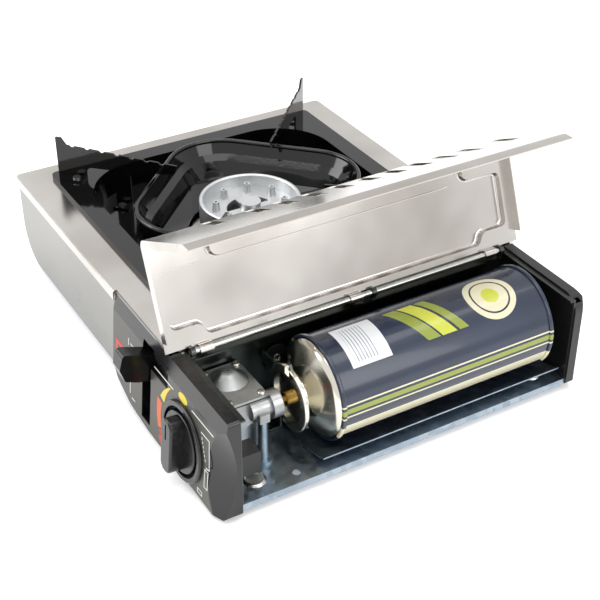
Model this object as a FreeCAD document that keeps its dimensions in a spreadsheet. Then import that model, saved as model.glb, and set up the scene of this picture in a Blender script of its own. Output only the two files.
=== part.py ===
import FreeCAD, Part

import Sketcher

import math
import os
import re

# Butane cassette stove, modelled in millimetres. X runs along the long side, towards the gas bay,
# Y runs from the control panel to the back, Z is up. The origin is on the table, under the middle of
# the stove's box. It rests with its lid open, the can released and the knob off.

Vector = FreeCAD.Vector
doc = FreeCAD.newDocument("stove")

# Driving sizes: alias, millimetres (or degrees, or a count), what it is.
SIZES = [
    ("body_width", 337, "left lip to right end of the panel"),
    ("wall_depth", 257, "outside of front wall to outside of rear wall"),
    ("bay_width", 77, "gas bay, from the partition to the right end"),
    ("plate_top", 75, "height of the top plate"),
    ("plate_overhang", 2, "how far the top plate's lip stands outside the walls"),
    ("plate_lip", 7, "height of the top plate's turned lip"),
    ("plate_round", 1.8, "rounding of the top plate's edge"),
    ("sheet", 0.8, "steel sheet of shell, plate and lid"),
    ("shell_corner", 28, "rounding along the shell's lower left"),
    ("plate_corner", 4, "corner rounding of the top plate in plan"),
    ("joint_gap", 0.3, "gap beside a neighbouring part"),
    ("base_top", 9.5, "top of the base plate"),
    ("base_sheet", 1, "base plate sheet"),
    ("base_lip", 5, "turned edge of the base plate"),
    ("base_inset", 1.5, "base plate's edge inside the panel's right end"),
    ("drain_radius", 2.6, "small hole in the base plate"),
    ("drain_inset", 10.5, "that hole inside the right end"),
    ("drain_behind", 42, "that hole behind the front bulkhead"),
    ("foot_radius", 9, "rubber foot"),
    ("foot_stem", 3, "stem of the foot in the base plate"),
    ("foot_head", 4.4, "head of that stem"),
    ("foot_head_height", 0.9, "height of that head"),
    ("foot_round", 1.5, "rounding of the foot"),
    ("foot_inset", 17.5, "right feet inside the right end"),
    ("foot_inset_left", 46.5, "left feet inside the left end"),
    ("foot_inset_y", 24.5, "feet inside the outer walls"),
    ("partition_sheet", 1, "partition sheet"),
    ("partition_top", 69.5, "top of the partition"),
    ("partition_flange", 7, "turned top and bottom edge of the partition"),
    ("pivot_inset", 5, "lid hinge axis from the partition"),
    ("well_depth", 23, "depth of the well"),
    ("well_corner", 14, "well's corner rounding"),
    ("burner_hole", 30, "hole in the well's floor"),
    ("pan_side", 217, "outside of the pan's square rim"),
    ("pan_shift", 4.5, "burner left of the middle between partition and left end"),
    ("well_inset", 3.5, "well's sides inside the pan's rim"),
    ("pan_sheet", 1.2, "pan sheet"),
    ("pan_rise", 3, "top of the pan's rim above the plate"),
    ("pan_corner", 5, "corner rounding of the rim"),
    ("rim_width", 13.5, "flat rim of the pan"),
    ("basin_corner", 45, "corner rounding of the basin"),
    ("basin_depth", 18, "basin floor below the rim"),
    ("windbreak_side", 70, "middle of the windbreak to its flat side"),
    ("windbreak_corner", 38, "rounding of its four points"),
    ("windbreak_rise", 10, "rolled edge above the plate"),
    ("windbreak_bead", 1.7, "radius of the rolled edge"),
    ("windbreak_lean", 1.5, "how far its wall leans in towards the top"),
    ("ledge_in", 5, "inner ledge from the windbreak's side"),
    ("ledge_drop", 8, "inner ledge below the rolled edge"),
    ("step_in", 9, "foot of the ledge's slope from the side"),
    ("step_drop", 12, "foot of that slope below the rolled edge"),
    ("bowl_in", 14, "foot of the inner bowl from the side"),
    ("bowl_drop", 23, "foot of the inner bowl below the edge"),
    ("throat_radius", 45, "round throat of the pan"),
    ("throat_drop", 29, "throat below the rolled edge"),
    ("basin_lean", 4, "how far the basin's wall leans in"),
    ("arm_inset", 7.44, "pot arm's end inside the pan's corner"),
    ("arm_length", 92, "pot arm from end to end"),
    ("arm_sheet", 1.6, "pot arm sheet"),
    ("arm_top", 103, "top of the arm at its outer end"),
    ("arm_drop", 6, "how far its top falls towards the burner"),
    ("arm_horn", 5.4, "upturned outer end"),
    ("arm_horn_width", 6, "width of the upturned end"),
    ("arm_depth", 9, "depth of the arm's top bar"),
    ("arm_leg", 16, "width of its outer leg"),
    ("arm_notches", 7, "grip notches along its top"),
    ("arm_notch_radius", 2.2, "radius of a notch"),
    ("arm_foot", 9, "width of the foot folded onto the pan"),
    ("arm_arch", 22, "arch between the legs"),
    ("arm_arch_top", 87, "top of that arch"),
    ("arm_mid_leg", 12, "width of the inner leg"),
    ("arm_round", 5, "rounding of the arch"),
    ("rivet_radius", 1.8, "arm rivet"),
    ("rivet_head", 2.8, "head of the rivet"),
    ("rivet_height", 1.2, "height of its head"),
    ("burner_radius", 36.5, "outside of the burner ring"),
    ("burner_top", 79.5, "top of the burner ring"),
    ("burner_height", 17, "height of the burner ring"),
    ("burner_wall", 3.2, "wall of the burner ring"),
    ("burner_dish", 9, "dished floor below the ring's top"),
    ("burner_floor", 3, "thickness of that floor"),
    ("burner_bore", 17, "opening in the middle"),
    ("burner_boss", 7.5, "boss in the opening"),
    ("spoke_width", 7, "spoke that carries the boss"),
    ("post_ring", 24.5, "circle of the small posts"),
    ("post_radius", 3, "foot of a post"),
    ("post_tip", 2.2, "top of a post"),
    ("post_hole", 1, "hole in a post"),
    ("post_height", 7, "height of a post"),
    ("post_count", 8, "posts"),
    ("port_count", 24, "flame ports in the ring"),
    ("port_width", 2, "width of a port"),
    ("port_height", 4, "height of a port"),
    ("chamber_radius", 24, "burner body under the head"),
    ("chamber_wall", 2.2, "its wall"),
    ("tube_radius", 8, "mixing tube outside"),
    ("tube_wall", 1.2, "its wall"),
    ("tube_height", 21, "axis of the mixing tube"),
    ("tube_bell", 10.5, "bell mouth of the tube"),
    ("bell_length", 9, "length of that mouth"),
    ("tube_stop", 3, "bell mouth from the nozzle"),
    ("bracket_width", 26, "bracket under the burner"),
    ("bracket_sheet", 1.5, "bracket sheet"),
    ("bracket_reach", 36, "bracket's feet from the middle"),
    ("screw_radius", 1.9, "shank of the small screws"),
    ("screw_head", 3.4, "head of the small screws"),
    ("screw_head_height", 1.8, "height of that head"),
    ("vent_y", 8, "window in the partition, ahead of the middle"),
    ("vent_width", 12, "width of the window"),
    ("vent_bottom", 50, "foot of the window"),
    ("vent_height", 12, "height of the window"),
    ("pivot_height", 73.5, "lid hinge axis, height"),
    ("rod_radius", 2, "hinge rod"),
    ("hinge_gap", 0.06, "rod in the lid's ears, on radius"),
    ("rail_drop", 4.5, "rail's top below the axis"),
    ("rail_flange", 10, "height of the rail's flange"),
    ("rail_width", 6.5, "width of the rail"),
    ("rail_sheet", 1, "hinge rail sheet"),
    ("rail_inset", 4.5, "rail's end inside the bulkhead"),
    ("lug_radius", 3.1, "lug that holds the rod"),
    ("lug_length", 3, "length of a lug along the rod"),
    ("lid_panel", 70.5, "lid from its hinge edge to the bend"),
    ("lid_flap", 66.9, "lid's side flap down to its tucked foot"),
    ("lid_bend", 6, "outside rounding of the lid's bend"),
    ("flap_tuck", 7.5, "tucked foot of the flap"),
    ("tuck_lean", 21, "foot leans in from plumb"),
    ("tuck_bend", 6, "outside rounding above the foot"),
    ("lid_stand", 2.7, "lid's end outside the walls"),
    ("lid_edge", 2.7, "hinge edge of the lid from the axis"),
    ("lid_flange", 7, "turned end flange of the lid's top"),
    ("flap_flange", 5, "turned end flange of the side flap"),
    ("flap_flange_end", 58, "length of that flange down the flap"),
    ("lid_clear", 1.2, "lid's outside above the plate when shut"),
    ("lid_open", 111.7, "opening angle of the lid"),
    ("flap_lean", 3.8, "flap leans out from square"),
    ("ear_length", 9, "length of a lid ear on the rod"),
    ("ear_wall", 1.1, "wall of a lid ear"),
    ("ear_inset", 10.5, "outer ears inside the rail's end"),
    ("pillow_left", 6, "raised middle of the lid's top from the hinge axis"),
    ("pillow_step", 8, "its ends start further from the axis by this"),
    ("pillow_shoulder", 19.5, "length of those ends"),
    ("pillow_slant", 4, "run of the slanting step between them"),
    ("pillow_right", 52.5, "far side of the raised middle from the hinge axis"),
    ("pillow_inset", 6, "raised middle inside the lid's end"),
    ("pillow_corner", 5, "its corner rounding"),
    ("pillow_rise", 5, "its height"),
    ("pillow_edge", 2.8, "rounding of its upper edge"),
    ("rib_middle", 92.5, "two raised ribs run on to the bend, from the lid's middle"),
    ("rib_width", 7.8, "width of a rib"),
    ("rib_right", 65, "end of a rib from the hinge axis"),
    ("rib_corner", 3.6, "rounding of a rib's end"),
    ("slot_count", 9, "louvre slots in the flap, with one more apart at each end"),
    ("slot_pitch", 19.2, "spacing of the slots"),
    ("slot_apart", 29, "spacing of the end slots"),
    ("slot_shift", 15.5, "middle slot behind the lid's middle"),
    ("slot_length", 25, "length of a slot down the flap"),
    ("slot_width", 7.3, "width of a slot"),
    ("slot_drop", 4.5, "slots from the bend"),
    ("panel_bottom", 3, "underside of the front panel"),
    ("panel_reach", 77.5, "panel's left edge from the partition"),
    ("panel_top", 73, "top edge of the front panel"),
    ("face_top", 62, "where the face meets the bevel"),
    ("face_stand", 2.7, "face at the bevel, outside the walls"),
    ("face_lean", 5.4, "how far the face leans out to its foot"),
    ("panel_wall", 2.4, "moulded wall"),
    ("panel_lap", 7.5, "panel's back rim inside the outer walls"),
    ("panel_sweep", 56, "reach of the curve at the panel's lower left"),
    ("panel_sweep_rise", 21, "rise of that curve"),
    ("panel_round", 2.5, "rounding of the panel's right corners"),
    ("scoop_out", 27.5, "middle of the curved bevel beyond the right end"),
    ("scoop_height", 32, "its height"),
    ("scoop_radius", 47, "its radius on the face"),
    ("scoop_slope", 2, "how fast it narrows with depth"),
    ("scoop_depth", 12, "its depth"),
    ("slot_lead", 4.5, "left side of the lever slot from the lever plate's left face"),
    ("slot_across", 12.5, "width of the lever slot"),
    ("slot_foot", 8, "foot of the lever slot"),
    ("slot_head", 66, "head of the lever slot"),
    ("recess_across", 36, "finger recess beside the slot's head"),
    ("recess_height", 15, "height of the recess"),
    ("recess_depth", 1.6, "depth of the recess"),
    ("knob_inset", 49.5, "knob axis inside the right end"),
    ("knob_height", 29, "knob axis at the panel's face"),
    ("seat_radius", 26, "raised ring round the knob"),
    ("seat_rise", 2.6, "its height over the face"),
    ("seat_bore", 22.5, "inside of that ring"),
    ("seat_depth", 2.6, "floor of the seat below the face"),
    ("knob_radius", 20.5, "skirt of the knob"),
    ("knob_skirt", 5.2, "thickness of the skirt"),
    ("knob_draft", 0.8, "how far its edge leans in"),
    ("knob_gap", 0.6, "knob above the floor of its seat"),
    ("grip_width", 13, "grip bar of the knob"),
    ("grip_length", 38, "length of the grip bar"),
    ("grip_rise", 9, "grip bar above the skirt"),
    ("grip_round", 1.5, "rounding of its top edges"),
    ("grip_groove", 1.6, "pointer groove width"),
    ("spindle_depth", 32, "end of the spindle's bore behind the panel's face"),
    ("spindle_end", 2, "spindle short of that end"),
    ("spindle_reach", 3, "spindle in front of the panel's face"),
    ("spindle_radius", 3, "valve spindle"),
    ("spindle_gap", 0.08, "spindle in the valve body, on radius"),
    ("spindle_hole", 5, "hole for the spindle in panel and bulkhead"),
    ("bulkhead_inset", 1.4, "bulkhead's rim inside the panel's outline"),
    ("bulkhead_depth", 4, "depth of the bulkhead's rim"),
    ("bulkhead_sheet", 1.2, "bulkhead sheet"),
    ("end_stand", 4.5, "outer face of the rear end wall outside the walls"),
    ("end_wall", 2.4, "moulded wall of the end wall"),
    ("end_inset", 1.5, "end wall's left edge from the partition"),
    ("end_bottom", 5, "underside of the end wall"),
    ("end_round", 12, "rounding of its corners"),
    ("end_bevel_drop", 11, "height of the bevel along its top"),
    ("end_bevel_in", 5, "depth of that bevel"),
    ("end_chamfer", 12.5, "bevel at its right end, along X"),
    ("end_chamfer_in", 6, "depth of that bevel"),
    ("can_inset", 36.5, "can axis inside the right end"),
    ("can_height", 45.2, "can axis, height"),
    ("can_radius", 33, "can body"),
    ("seam_radius", 34.3, "rolled seams of the can"),
    ("seam_width", 3, "width of a seam"),
    ("can_sheet", 0.6, "can wall"),
    ("can_rear", 15, "rear seam inside the rear bulkhead"),
    ("dome_foot", 2.5, "straight foot of the dome"),
    ("dome_round", 6, "rounding of the dome's shoulder"),
    ("dome_length", 13, "dome ahead of the seam"),
    ("collar_radius", 22, "collar ring of the can"),
    ("collar_back", 17.5, "rear face of the ring ahead of the seam"),
    ("collar_width", 3, "width of the collar ring"),
    ("collar_rim", 6, "width of the raised rim of the ring"),
    ("collar_sheet", 1.2, "plate inside that rim"),
    ("collar_hub", 13, "hub of the collar"),
    ("collar_notch", 5, "notch in the collar ring"),
    ("valve_radius", 4.4, "valve boss in the collar"),
    ("valve_reach", 2, "valve boss ahead of the ring"),
    ("valve_length", 10, "length of the valve"),
    ("valve_stem", 2, "valve stem"),
    ("stem_reach", 5.5, "stem ahead of the ring"),
    ("base_dish", 7, "dish in the can's rear end"),
    ("tray_side_left", 29, "tray's left edge from the can's axis"),
    ("tray_side", 31, "tray's right edge from the can's axis"),
    ("tray_ahead", 13, "tray's front edge ahead of the front seam"),
    ("tray_rear", 3, "tray's rear edge inside the rear bulkhead"),
    ("tray_sheet", 1, "tray sheet"),
    ("tray_edge", 16, "height of the tray's edges"),
    ("tray_flat", 16, "flat strip along the tray's middle"),
    ("regulator_shift", 18.5, "middle of the regulator left of the can's axis"),
    ("regulator_gap", 8.2, "regulator behind the front bulkhead"),
    ("regulator_width", 39, "regulator plate along X"),
    ("regulator_length", 28, "regulator plate along Y"),
    ("regulator_top", 54, "top of the regulator's plate"),
    ("regulator_bottom", 15, "underside of the regulator"),
    ("regulator_waist", 36, "underside of the wide upper block at its back"),
    ("waist_front", 25, "its underside at the front, where it slants down"),
    ("waist_inset", 9, "lower block inside the upper one on the left"),
    ("waist_right", 3, "lower block inside the upper one on the right"),
    ("screw_length", 7, "cover screws in the block"),
    ("cover_shift", 5.5, "dome from the plate's middle, towards the partition"),
    ("cover_radius", 12.4, "dome of the regulator cover"),
    ("cover_crown", 4.2, "crown of the dome"),
    ("cover_rise", 6.5, "height of that dome"),
    ("crown_round", 4, "rounding of the crown"),
    ("vent_radius", 0.6, "vent in the crown"),
    ("cover_sheet", 1.6, "flat of the cover"),
    ("diaphragm_sheet", 1, "diaphragm"),
    ("spring_radius", 3.2, "regulator spring"),
    ("spring_wire", 1.4, "its wall in the solid"),
    ("screw_inset", 3.2, "cover screws from the plate's edges"),
    ("cover_screw_head", 2.6, "head of the cover screws"),
    ("socket_radius", 9, "socket collar"),
    ("socket_length", 7, "length of the socket collar"),
    ("socket_bore", 5, "mouth of the socket"),
    ("neck_radius", 6, "cast neck in front of the socket"),
    ("neck_length", 13, "length of that neck"),
    ("socket_depth", 4.6, "depth of the mouth"),
    ("seal_hole", 2.4, "hole in the seal"),
    ("seal_sheet", 1.6, "thickness of the seal"),
    ("stem_stand", 0.6, "stem short of the socket when released"),
    ("prop_radius", 3.3, "support post"),
    ("prop_shift", 5, "post beside the can's axis"),
    ("prop_flare", 6.2, "flared foot of the post"),
    ("prop_flare_height", 1.6, "height of that foot"),
    ("piezo_width", 14, "piezo igniter along X"),
    ("piezo_depth", 18, "piezo igniter along Y"),
    ("piezo_height", 15, "piezo igniter height"),
    ("piezo_inset", 26.5, "piezo igniter's left side inside the right end"),
    ("piezo_bottom", 19.5, "underside of the piezo igniter"),
    ("lead_radius", 1.1, "igniter lead"),
    ("electrode_radius", 2.6, "ceramic of the electrode"),
    ("electrode_wire", 0.9, "its wire"),
    ("electrode_stand", 4, "electrode from the burner ring"),
    ("electrode_turn", -48, "electrode's bearing from the burner, in degrees"),
    ("electrode_foot", 41, "foot of the ceramic"),
    ("electrode_top", 68, "top of the ceramic"),
    ("electrode_tip", 74, "tip of the wire"),
    ("lead_hole", 1.6, "hole for the lead in the partition"),
    ("lead_inset", 7, "lead behind the outer face of the front bulkhead"),
    ("lead_step", 22, "lead runs down over this length"),
    ("lead_far", 52, "turn of the lead towards the burner, from the lever slot"),
    ("lead_run", 42, "lead runs in over this length"),
    ("lead_high", 56, "lead's height over the lever"),
    ("lead_low", 44, "lead's height under the well"),
    ("pipe_radius", 2.5, "gas pipe"),
    ("pipe_wall", 0.6, "wall of the gas pipe"),
    ("nozzle_radius", 4.5, "jet nozzle"),
    ("nozzle_length", 9, "length of the nozzle"),
    ("jet_hole", 0.5, "jet"),
    ("lever_gap", 2, "lever plate's left face from the well"),
    ("lever_sheet", 2, "lever plate"),
    ("lever_width", 10, "width of the lever plate"),
    ("lever_eye", 6, "end of the lever plate round its pivot"),
    ("lever_root", 49, "height of the plate's outer end"),
    ("pivot_ahead", 7, "lever pivot ahead of the can's front seam"),
    ("lever_pivot_height", 47, "height of the lever pivot"),
    ("pivot_head", 1, "height of the pivot screw's head"),
    ("tab_stand", 23.5, "tip of the thumb tab outside the walls"),
    ("tab_length", 24, "length of the thumb tab"),
    ("tab_width", 10.5, "thumb tab width"),
    ("tab_grip", 10, "lever plate inside the tab"),
    ("tab_top", 66.4, "top corner of the tab"),
    ("tab_top_root", 59.2, "top of the tab at its root"),
    ("tab_tip", 56, "height of the tab's tip"),
    ("tab_foot", 46.5, "lower corner of the tab"),
    ("tab_foot_root", 41, "underside of the tab at its root"),
    ("tab_nose", 3, "tip beyond the tab's corners"),
    ("tab_round", 2.5, "rounding of its corners"),
    ("shaft_radius", 3.5, "lever shaft"),
    ("bush_radius", 6, "bush of the lever shaft"),
    ("bush_length", 3, "length of that bush"),
    ("cam_width", 15, "cam plate along Y"),
    ("cam_rise", 10, "cam plate above the shaft"),
    ("cam_drop", 12, "cam plate below the shaft"),
    ("cam_sheet", 1.6, "cam plate"),
    ("cam_round", 6.5, "rounding of the cam plate"),
    ("slide_travel", 3.5, "travel of the can slide"),
    ("slide_sheet", 1.6, "can slide"),
    ("saddle_gap", 1, "saddle round the can's hub"),
    ("fork_arm", 6, "width of a fork arm"),
    ("fork_tail", 24, "fork behind the can's axis"),
    ("fork_tip", 8, "fork beyond the can's axis"),
    ("slide_gap", 0.4, "fork behind the collar ring"),
    ("horn_inset", 3.5, "left end of the fork's horn from the partition"),
    ("horn_length", 17, "length of that horn"),
    ("horn_bottom", 48, "underside of that horn"),
    ("horn_height", 8, "height of that horn"),
    ("leg_inset", 23, "left side of the fork's leg from the can's axis"),
    ("leg_width", 8, "width of that leg"),
    ("slide_foot", 15, "length of the leg's foot"),
    ("foot_slot", 4.4, "width of the slot in that foot"),
    ("lift_slope", 30, "slope of that way out, in degrees"),
]

# Places and sizes that follow from them: name, formula.
PLACES = [
    ("half_width", "body_width/2"),
    ("half_depth", "wall_depth/2"),
    ("partition_x", "half_width-bay_width"),
    ("face_reach", "half_depth+face_stand"),
    ("face_foot", "face_reach+face_lean"),
    ("panel_depth", "half_depth-panel_lap"),
    ("end_reach", "half_depth+end_stand"),
    ("tab_reach", "half_depth+tab_stand"),
    ("tab_root", "tab_reach-tab_length"),
    ("mid_y", "(tab_reach-end_reach)/2"),
    ("foot_right", "half_width-foot_inset"),
    ("foot_left", "half_width-foot_inset_left"),
    ("foot_y", "half_depth-foot_inset_y"),
    ("drain_x", "half_width-drain_inset"),
    ("drain_y", "panel_depth-drain_behind"),
    ("pan_x", "(partition_x-half_width)/2-pan_shift"),
    ("panel_left", "partition_x-panel_reach"),
    ("pivot_x", "partition_x+pivot_inset"),
    ("end_left", "partition_x+end_inset"),
    ("horn_left", "partition_x+horn_inset"),
    ("knob_x", "half_width-knob_inset"),
    ("scoop_x", "half_width+scoop_out"),
    ("piezo_x", "half_width-piezo_inset"),
    ("can_x", "half_width-can_inset"),
    ("slide_leg", "can_x-leg_inset"),
    ("regulator_x", "can_x-regulator_shift"),
    ("tray_left", "can_x-tray_side_left"),
    ("tray_right", "can_x+tray_side"),
    ("tray_back", "panel_depth-tray_rear"),
    ("rail_reach", "panel_depth-rail_inset"),
    ("ear_reach", "rail_reach-ear_inset"),
    ("lid_half", "half_depth+lid_stand"),
    ("pillow_half", "lid_half-pillow_inset"),
    ("lead_y", "panel_depth-lead_inset"),
    ("shell_left", "plate_overhang-half_width"),
    ("base_bottom", "base_top-base_sheet"),
    ("base_right", "half_width-base_inset"),
    ("base_left", "shell_left+shell_corner"),
    ("base_half", "half_depth-sheet"),
    ("lip_reach", "half_depth+plate_overhang"),
    ("partition_right", "partition_x+partition_sheet"),
    ("well_floor", "plate_top-well_depth"),
    ("pan_half", "pan_side/2"),
    ("well_half", "pan_half-well_inset"),
    ("lever_x", "pan_x+well_half+lever_gap"),
    ("slot_left", "lever_x-slot_lead"),
    ("rim_top", "plate_top+pan_rise"),
    ("basin_half", "pan_half-rim_width"),
    ("basin_floor", "rim_top-basin_depth"),
    ("windbreak_top", "plate_top+windbreak_rise"),
    ("arm_reach", "pan_half*sqrt(2)-arm_inset"),
    ("arm_inner", "arm_reach-arm_length"),
    ("rivet_outer", "arm_reach-arm_leg"),
    ("rivet_inner", "rivet_outer-arm_horn_width-arm_arch-arm_mid_leg/2"),
    ("burner_bottom", "burner_top-burner_height"),
    ("dish_floor", "burner_top-burner_dish"),
    ("burner_inner", "burner_radius-burner_wall"),
    ("floor_under", "dish_floor-burner_floor"),
    ("chamber_bottom", "base_top+bracket_sheet"),
    ("lid_rise", "plate_top+lid_clear-pivot_height"),
    ("face_slope", "atan((face_foot-face_reach)/(face_top-panel_bottom))"),
    ("knob_reach", "face_reach+(face_top-knob_height)*tan(face_slope)"),
    ("scoop_reach", "face_reach+(face_top-scoop_height)*tan(face_slope)"),
    ("regulator_front", "mid_y-panel_depth+bulkhead_sheet+regulator_gap"),
    ("regulator_back", "regulator_front+regulator_length"),
    ("socket_mouth", "regulator_back+socket_length"),
    ("collar_face", "socket_mouth+stem_reach+stem_stand"),
    ("can_y", "collar_face+collar_back+collar_width"),
    ("can_length", "mid_y+panel_depth-can_rear-can_y"),
    ("tray_front", "mid_y-can_y+tray_ahead"),
    ("regulator_left", "regulator_x-regulator_width/2"),
    ("regulator_right", "regulator_x+regulator_width/2"),
    ("regulator_mid", "(regulator_front+regulator_back)/2"),
    ("diaphragm_top", "regulator_top-cover_sheet"),
    ("block_top", "diaphragm_top-diaphragm_sheet"),
    ("feed_y", "regulator_back-spindle_radius*2"),
    ("nozzle_tip", "partition_x-nozzle_length"),
    ("tube_across", "nozzle_tip-pan_x"),
    ("tube_ahead", "mid_y-feed_y"),
    ("tube_span", "sqrt(tube_across^2+tube_ahead^2)"),
    ("tube_turn", "atan((feed_y-mid_y)/tube_across)"),
    ("pivot_y", "can_y-pivot_ahead"),
    ("bush_bore", "shaft_radius+hinge_gap"),
    ("cam_x", "partition_right+bush_length-partition_sheet+joint_gap"),
    ("slide_back", "can_y-collar_back+slide_gap+slide_sheet"),
    ("electrode_ring", "burner_radius+electrode_stand"),
    ("electrode_x", "pan_x+electrode_ring*cos(electrode_turn)"),
    ("electrode_y", "mid_y+electrode_ring*sin(electrode_turn)"),
]

FUNCTIONS = ("sin", "cos", "tan", "atan", "sqrt", "deg")

sheet = doc.addObject("Spreadsheet::Sheet", "Sizes")
for row, (alias, number, note) in enumerate(SIZES, 1):
    sheet.set("A%d" % row, str(number))
    sheet.setAlias("A%d" % row, alias)
    sheet.set("B%d" % row, note)
doc.recompute()

places = doc.addObject("App::VarSet", "Places")
size_names = {alias for alias, number, note in SIZES}
place_names = {name for name, text in PLACES}


def formula(text):
    """Write a formula in sizes and places as an expression of the document."""
    def owner(match):
        word = match.group()
        if word in size_names:
            return "Sizes." + word
        if word in place_names:
            return "Places." + word
        if word in FUNCTIONS:
            return word
        raise NameError(word)
    return re.sub(r"[a-z][a-z_]*", owner, str(text))


for name, text in PLACES:
    places.addProperty("App::PropertyFloat", name, "Places")
    places.setExpression(name, formula(text))
doc.recompute()


def size(name):
    """The present value of a size or a place."""
    if name in place_names:
        return float(getattr(places, name))
    return float(sheet.get(name))


def value_of(text):
    """The present value of a formula."""
    value = places.evalExpression(formula(text))
    return float(getattr(value, "Value", value))


def bind(item, **formulas):
    """Bind properties of an object; a double underscore stands for a dot."""
    for key, text in formulas.items():
        item.setExpression(key.replace("__", "."), formula(text))
    return item


def place(item, x="0", y="0", z="0"):
    """Bind an object's position."""
    item.setExpression("Placement.Base.x", formula(x))
    item.setExpression("Placement.Base.y", formula(y))
    item.setExpression("Placement.Base.z", formula(z))
    return item


def span(low, high):
    """The length between two formulas."""
    return "(%s)-(%s)" % (high, low)


def box(name, x, y, z):
    """A block between three pairs of formulas."""
    item = doc.addObject("Part::Box", name)
    bind(item, Length=span(*x), Width=span(*y), Height=span(*z))
    return place(item, x[0], y[0], z[0])


TURNS = {
    "z": FreeCAD.Rotation(),
    "x": FreeCAD.Rotation(Vector(0, 1, 0), 90),
    "y": FreeCAD.Rotation(Vector(1, 0, 0), -90),
}


def cylinder(name, axis, at, radius, length):
    """A cylinder from a point, along +X, +Y or +Z."""
    item = doc.addObject("Part::Cylinder", name)
    item.Placement = FreeCAD.Placement(Vector(), TURNS[axis])
    bind(item, Radius=radius, Height=length)
    return place(item, *at)


def cone(name, axis, at, start, end, length):
    """A cone from a point, along +X, +Y or +Z."""
    item = doc.addObject("Part::Cone", name)
    item.Placement = FreeCAD.Placement(Vector(), TURNS[axis])
    bind(item, Radius1=start, Radius2=end, Height=length)
    return place(item, *at)


def fuse(name, *items):
    """Join objects into one."""
    item = doc.addObject("Part::MultiFuse", name)
    item.Shapes = list(items)
    item.Refine = True
    return item


def cut(name, base, *tools):
    """Cut objects out of a first one."""
    item = doc.addObject("Part::Cut", name)
    item.Base = base
    item.Tool = tools[0] if len(tools) == 1 else fuse(name + "_tools", *tools)
    item.Refine = True
    return item


def group(name, *items):
    """Separate solids in one sub-part."""
    item = doc.addObject("Part::Compound", name)
    item.Links = list(items)
    return item


PLANES = {"xy": "XY_Plane", "xz": "XZ_Plane", "yz": "YZ_Plane"}


def outline(body, name, plane, at, points):
    """A closed sketch of straight lines, each point tied to the origin by two formulas."""
    sketch = body.newObject("Sketcher::SketchObject", name)
    support = [f for f in body.Origin.OriginFeatures if f.Role == PLANES[plane]][0]
    sketch.AttachmentSupport = [(support, "")]
    sketch.MapMode = "FlatFace"
    sketch.setExpression("AttachmentOffset.Base.z", formula(at))
    corners = [Vector(value_of(across), value_of(up), 0) for across, up in points]
    count = len(corners)
    for index, corner in enumerate(corners):
        sketch.addGeometry(Part.LineSegment(corner, corners[(index + 1) % count]), False)
    for index in range(count):
        sketch.addConstraint(Sketcher.Constraint("Coincident", index, 2, (index + 1) % count, 1))
    for index, corner in enumerate(corners):
        across, up = points[index]
        tie = sketch.addConstraint(Sketcher.Constraint("DistanceX", -1, 1, index, 1, corner.x))
        sketch.setExpression("Constraints[%d]" % tie, formula(across))
        tie = sketch.addConstraint(Sketcher.Constraint("DistanceY", -1, 1, index, 1, corner.y))
        sketch.setExpression("Constraints[%d]" % tie, formula(up))
    return sketch


def straight_edges(shape, point, direction):
    """Names of the straight edges that run in a direction through a point."""
    names = []
    for number, edge in enumerate(shape.Edges, 1):
        if edge.Curve.TypeId != "Part::GeomLine":
            continue
        if abs(abs(edge.Curve.Direction.dot(direction)) - 1) > 1e-6:
            continue
        if (edge.Vertexes[0].Point - point).cross(direction).Length < 1e-4:
            names.append("Edge%d" % number)
    return names


def ring_edges(shape, radius, height):
    """Names of the circles of a radius about Z, at a height."""
    names = []
    for number, edge in enumerate(shape.Edges, 1):
        if edge.Curve.TypeId != "Part::GeomCircle":
            continue
        if abs(edge.Curve.Radius - radius) < 1e-4 and abs(edge.Curve.Center.z - height) < 1e-4:
            names.append("Edge%d" % number)
    return names


def round_off(body, feature, name, edges, radius):
    """Round edges of the body's last feature."""
    assert edges, name
    fillet = body.newObject("PartDesign::Fillet", name)
    fillet.Base = (feature, edges)
    bind(fillet, Radius=radius)
    body.Tip = fillet
    doc.recompute()
    return fillet


NORMALS = {"xy": Vector(0, 0, 1), "xz": Vector(0, 1, 0), "yz": Vector(1, 0, 0)}


def pad(name, plane, at, length, points, rounds=()):
    """A flat outline given thickness; rounds pairs a radius with the corners it rounds."""
    body = doc.addObject("PartDesign::Body", name)
    sketch = outline(body, name + "_outline", plane, at, points)
    feature = body.newObject("PartDesign::Pad", name + "_pad")
    feature.Profile = sketch
    bind(feature, Length=length)
    body.Tip = feature
    doc.recompute()
    corners = [sketch.Placement.multVec(line.StartPoint) for line in sketch.Geometry]
    for number, (radius, indices) in enumerate(rounds, 1):
        edges = []
        for index in indices:
            edges += straight_edges(feature.Shape, corners[index], NORMALS[plane])
        feature = round_off(body, feature, "%s_round_%d" % (name, number), edges, radius)
    return body


def turned(name, points, rounds=()):
    """A half section (radius, height) turned about Z; rounds pairs a radius with corners."""
    body = doc.addObject("PartDesign::Body", name)
    sketch = outline(body, name + "_section", "xz", "0", points)
    feature = body.newObject("PartDesign::Revolution", name + "_turn")
    feature.Profile = sketch
    feature.ReferenceAxis = (sketch, ["V_Axis"])
    feature.Angle = 360
    body.Tip = feature
    doc.recompute()
    corners = [line.StartPoint for line in sketch.Geometry]
    for number, (radius, indices) in enumerate(rounds, 1):
        edges = []
        for index in indices:
            edges += ring_edges(feature.Shape, corners[index].x, corners[index].y)
        feature = round_off(body, feature, "%s_round_%d" % (name, number), edges, radius)
    return body


def aim(item, axis, angle):
    """Turn an object about an axis by a bound angle."""
    item.Placement = FreeCAD.Placement(Vector(), FreeCAD.Rotation(axis, 1))
    item.setExpression("Placement.Rotation.Angle", formula("(%s)*1deg" % angle))
    return item


nodes = []


def node(item, label):
    """Keep an object as a sub-part of its own name."""
    item.Label = label
    nodes.append(item)
    return item


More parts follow.
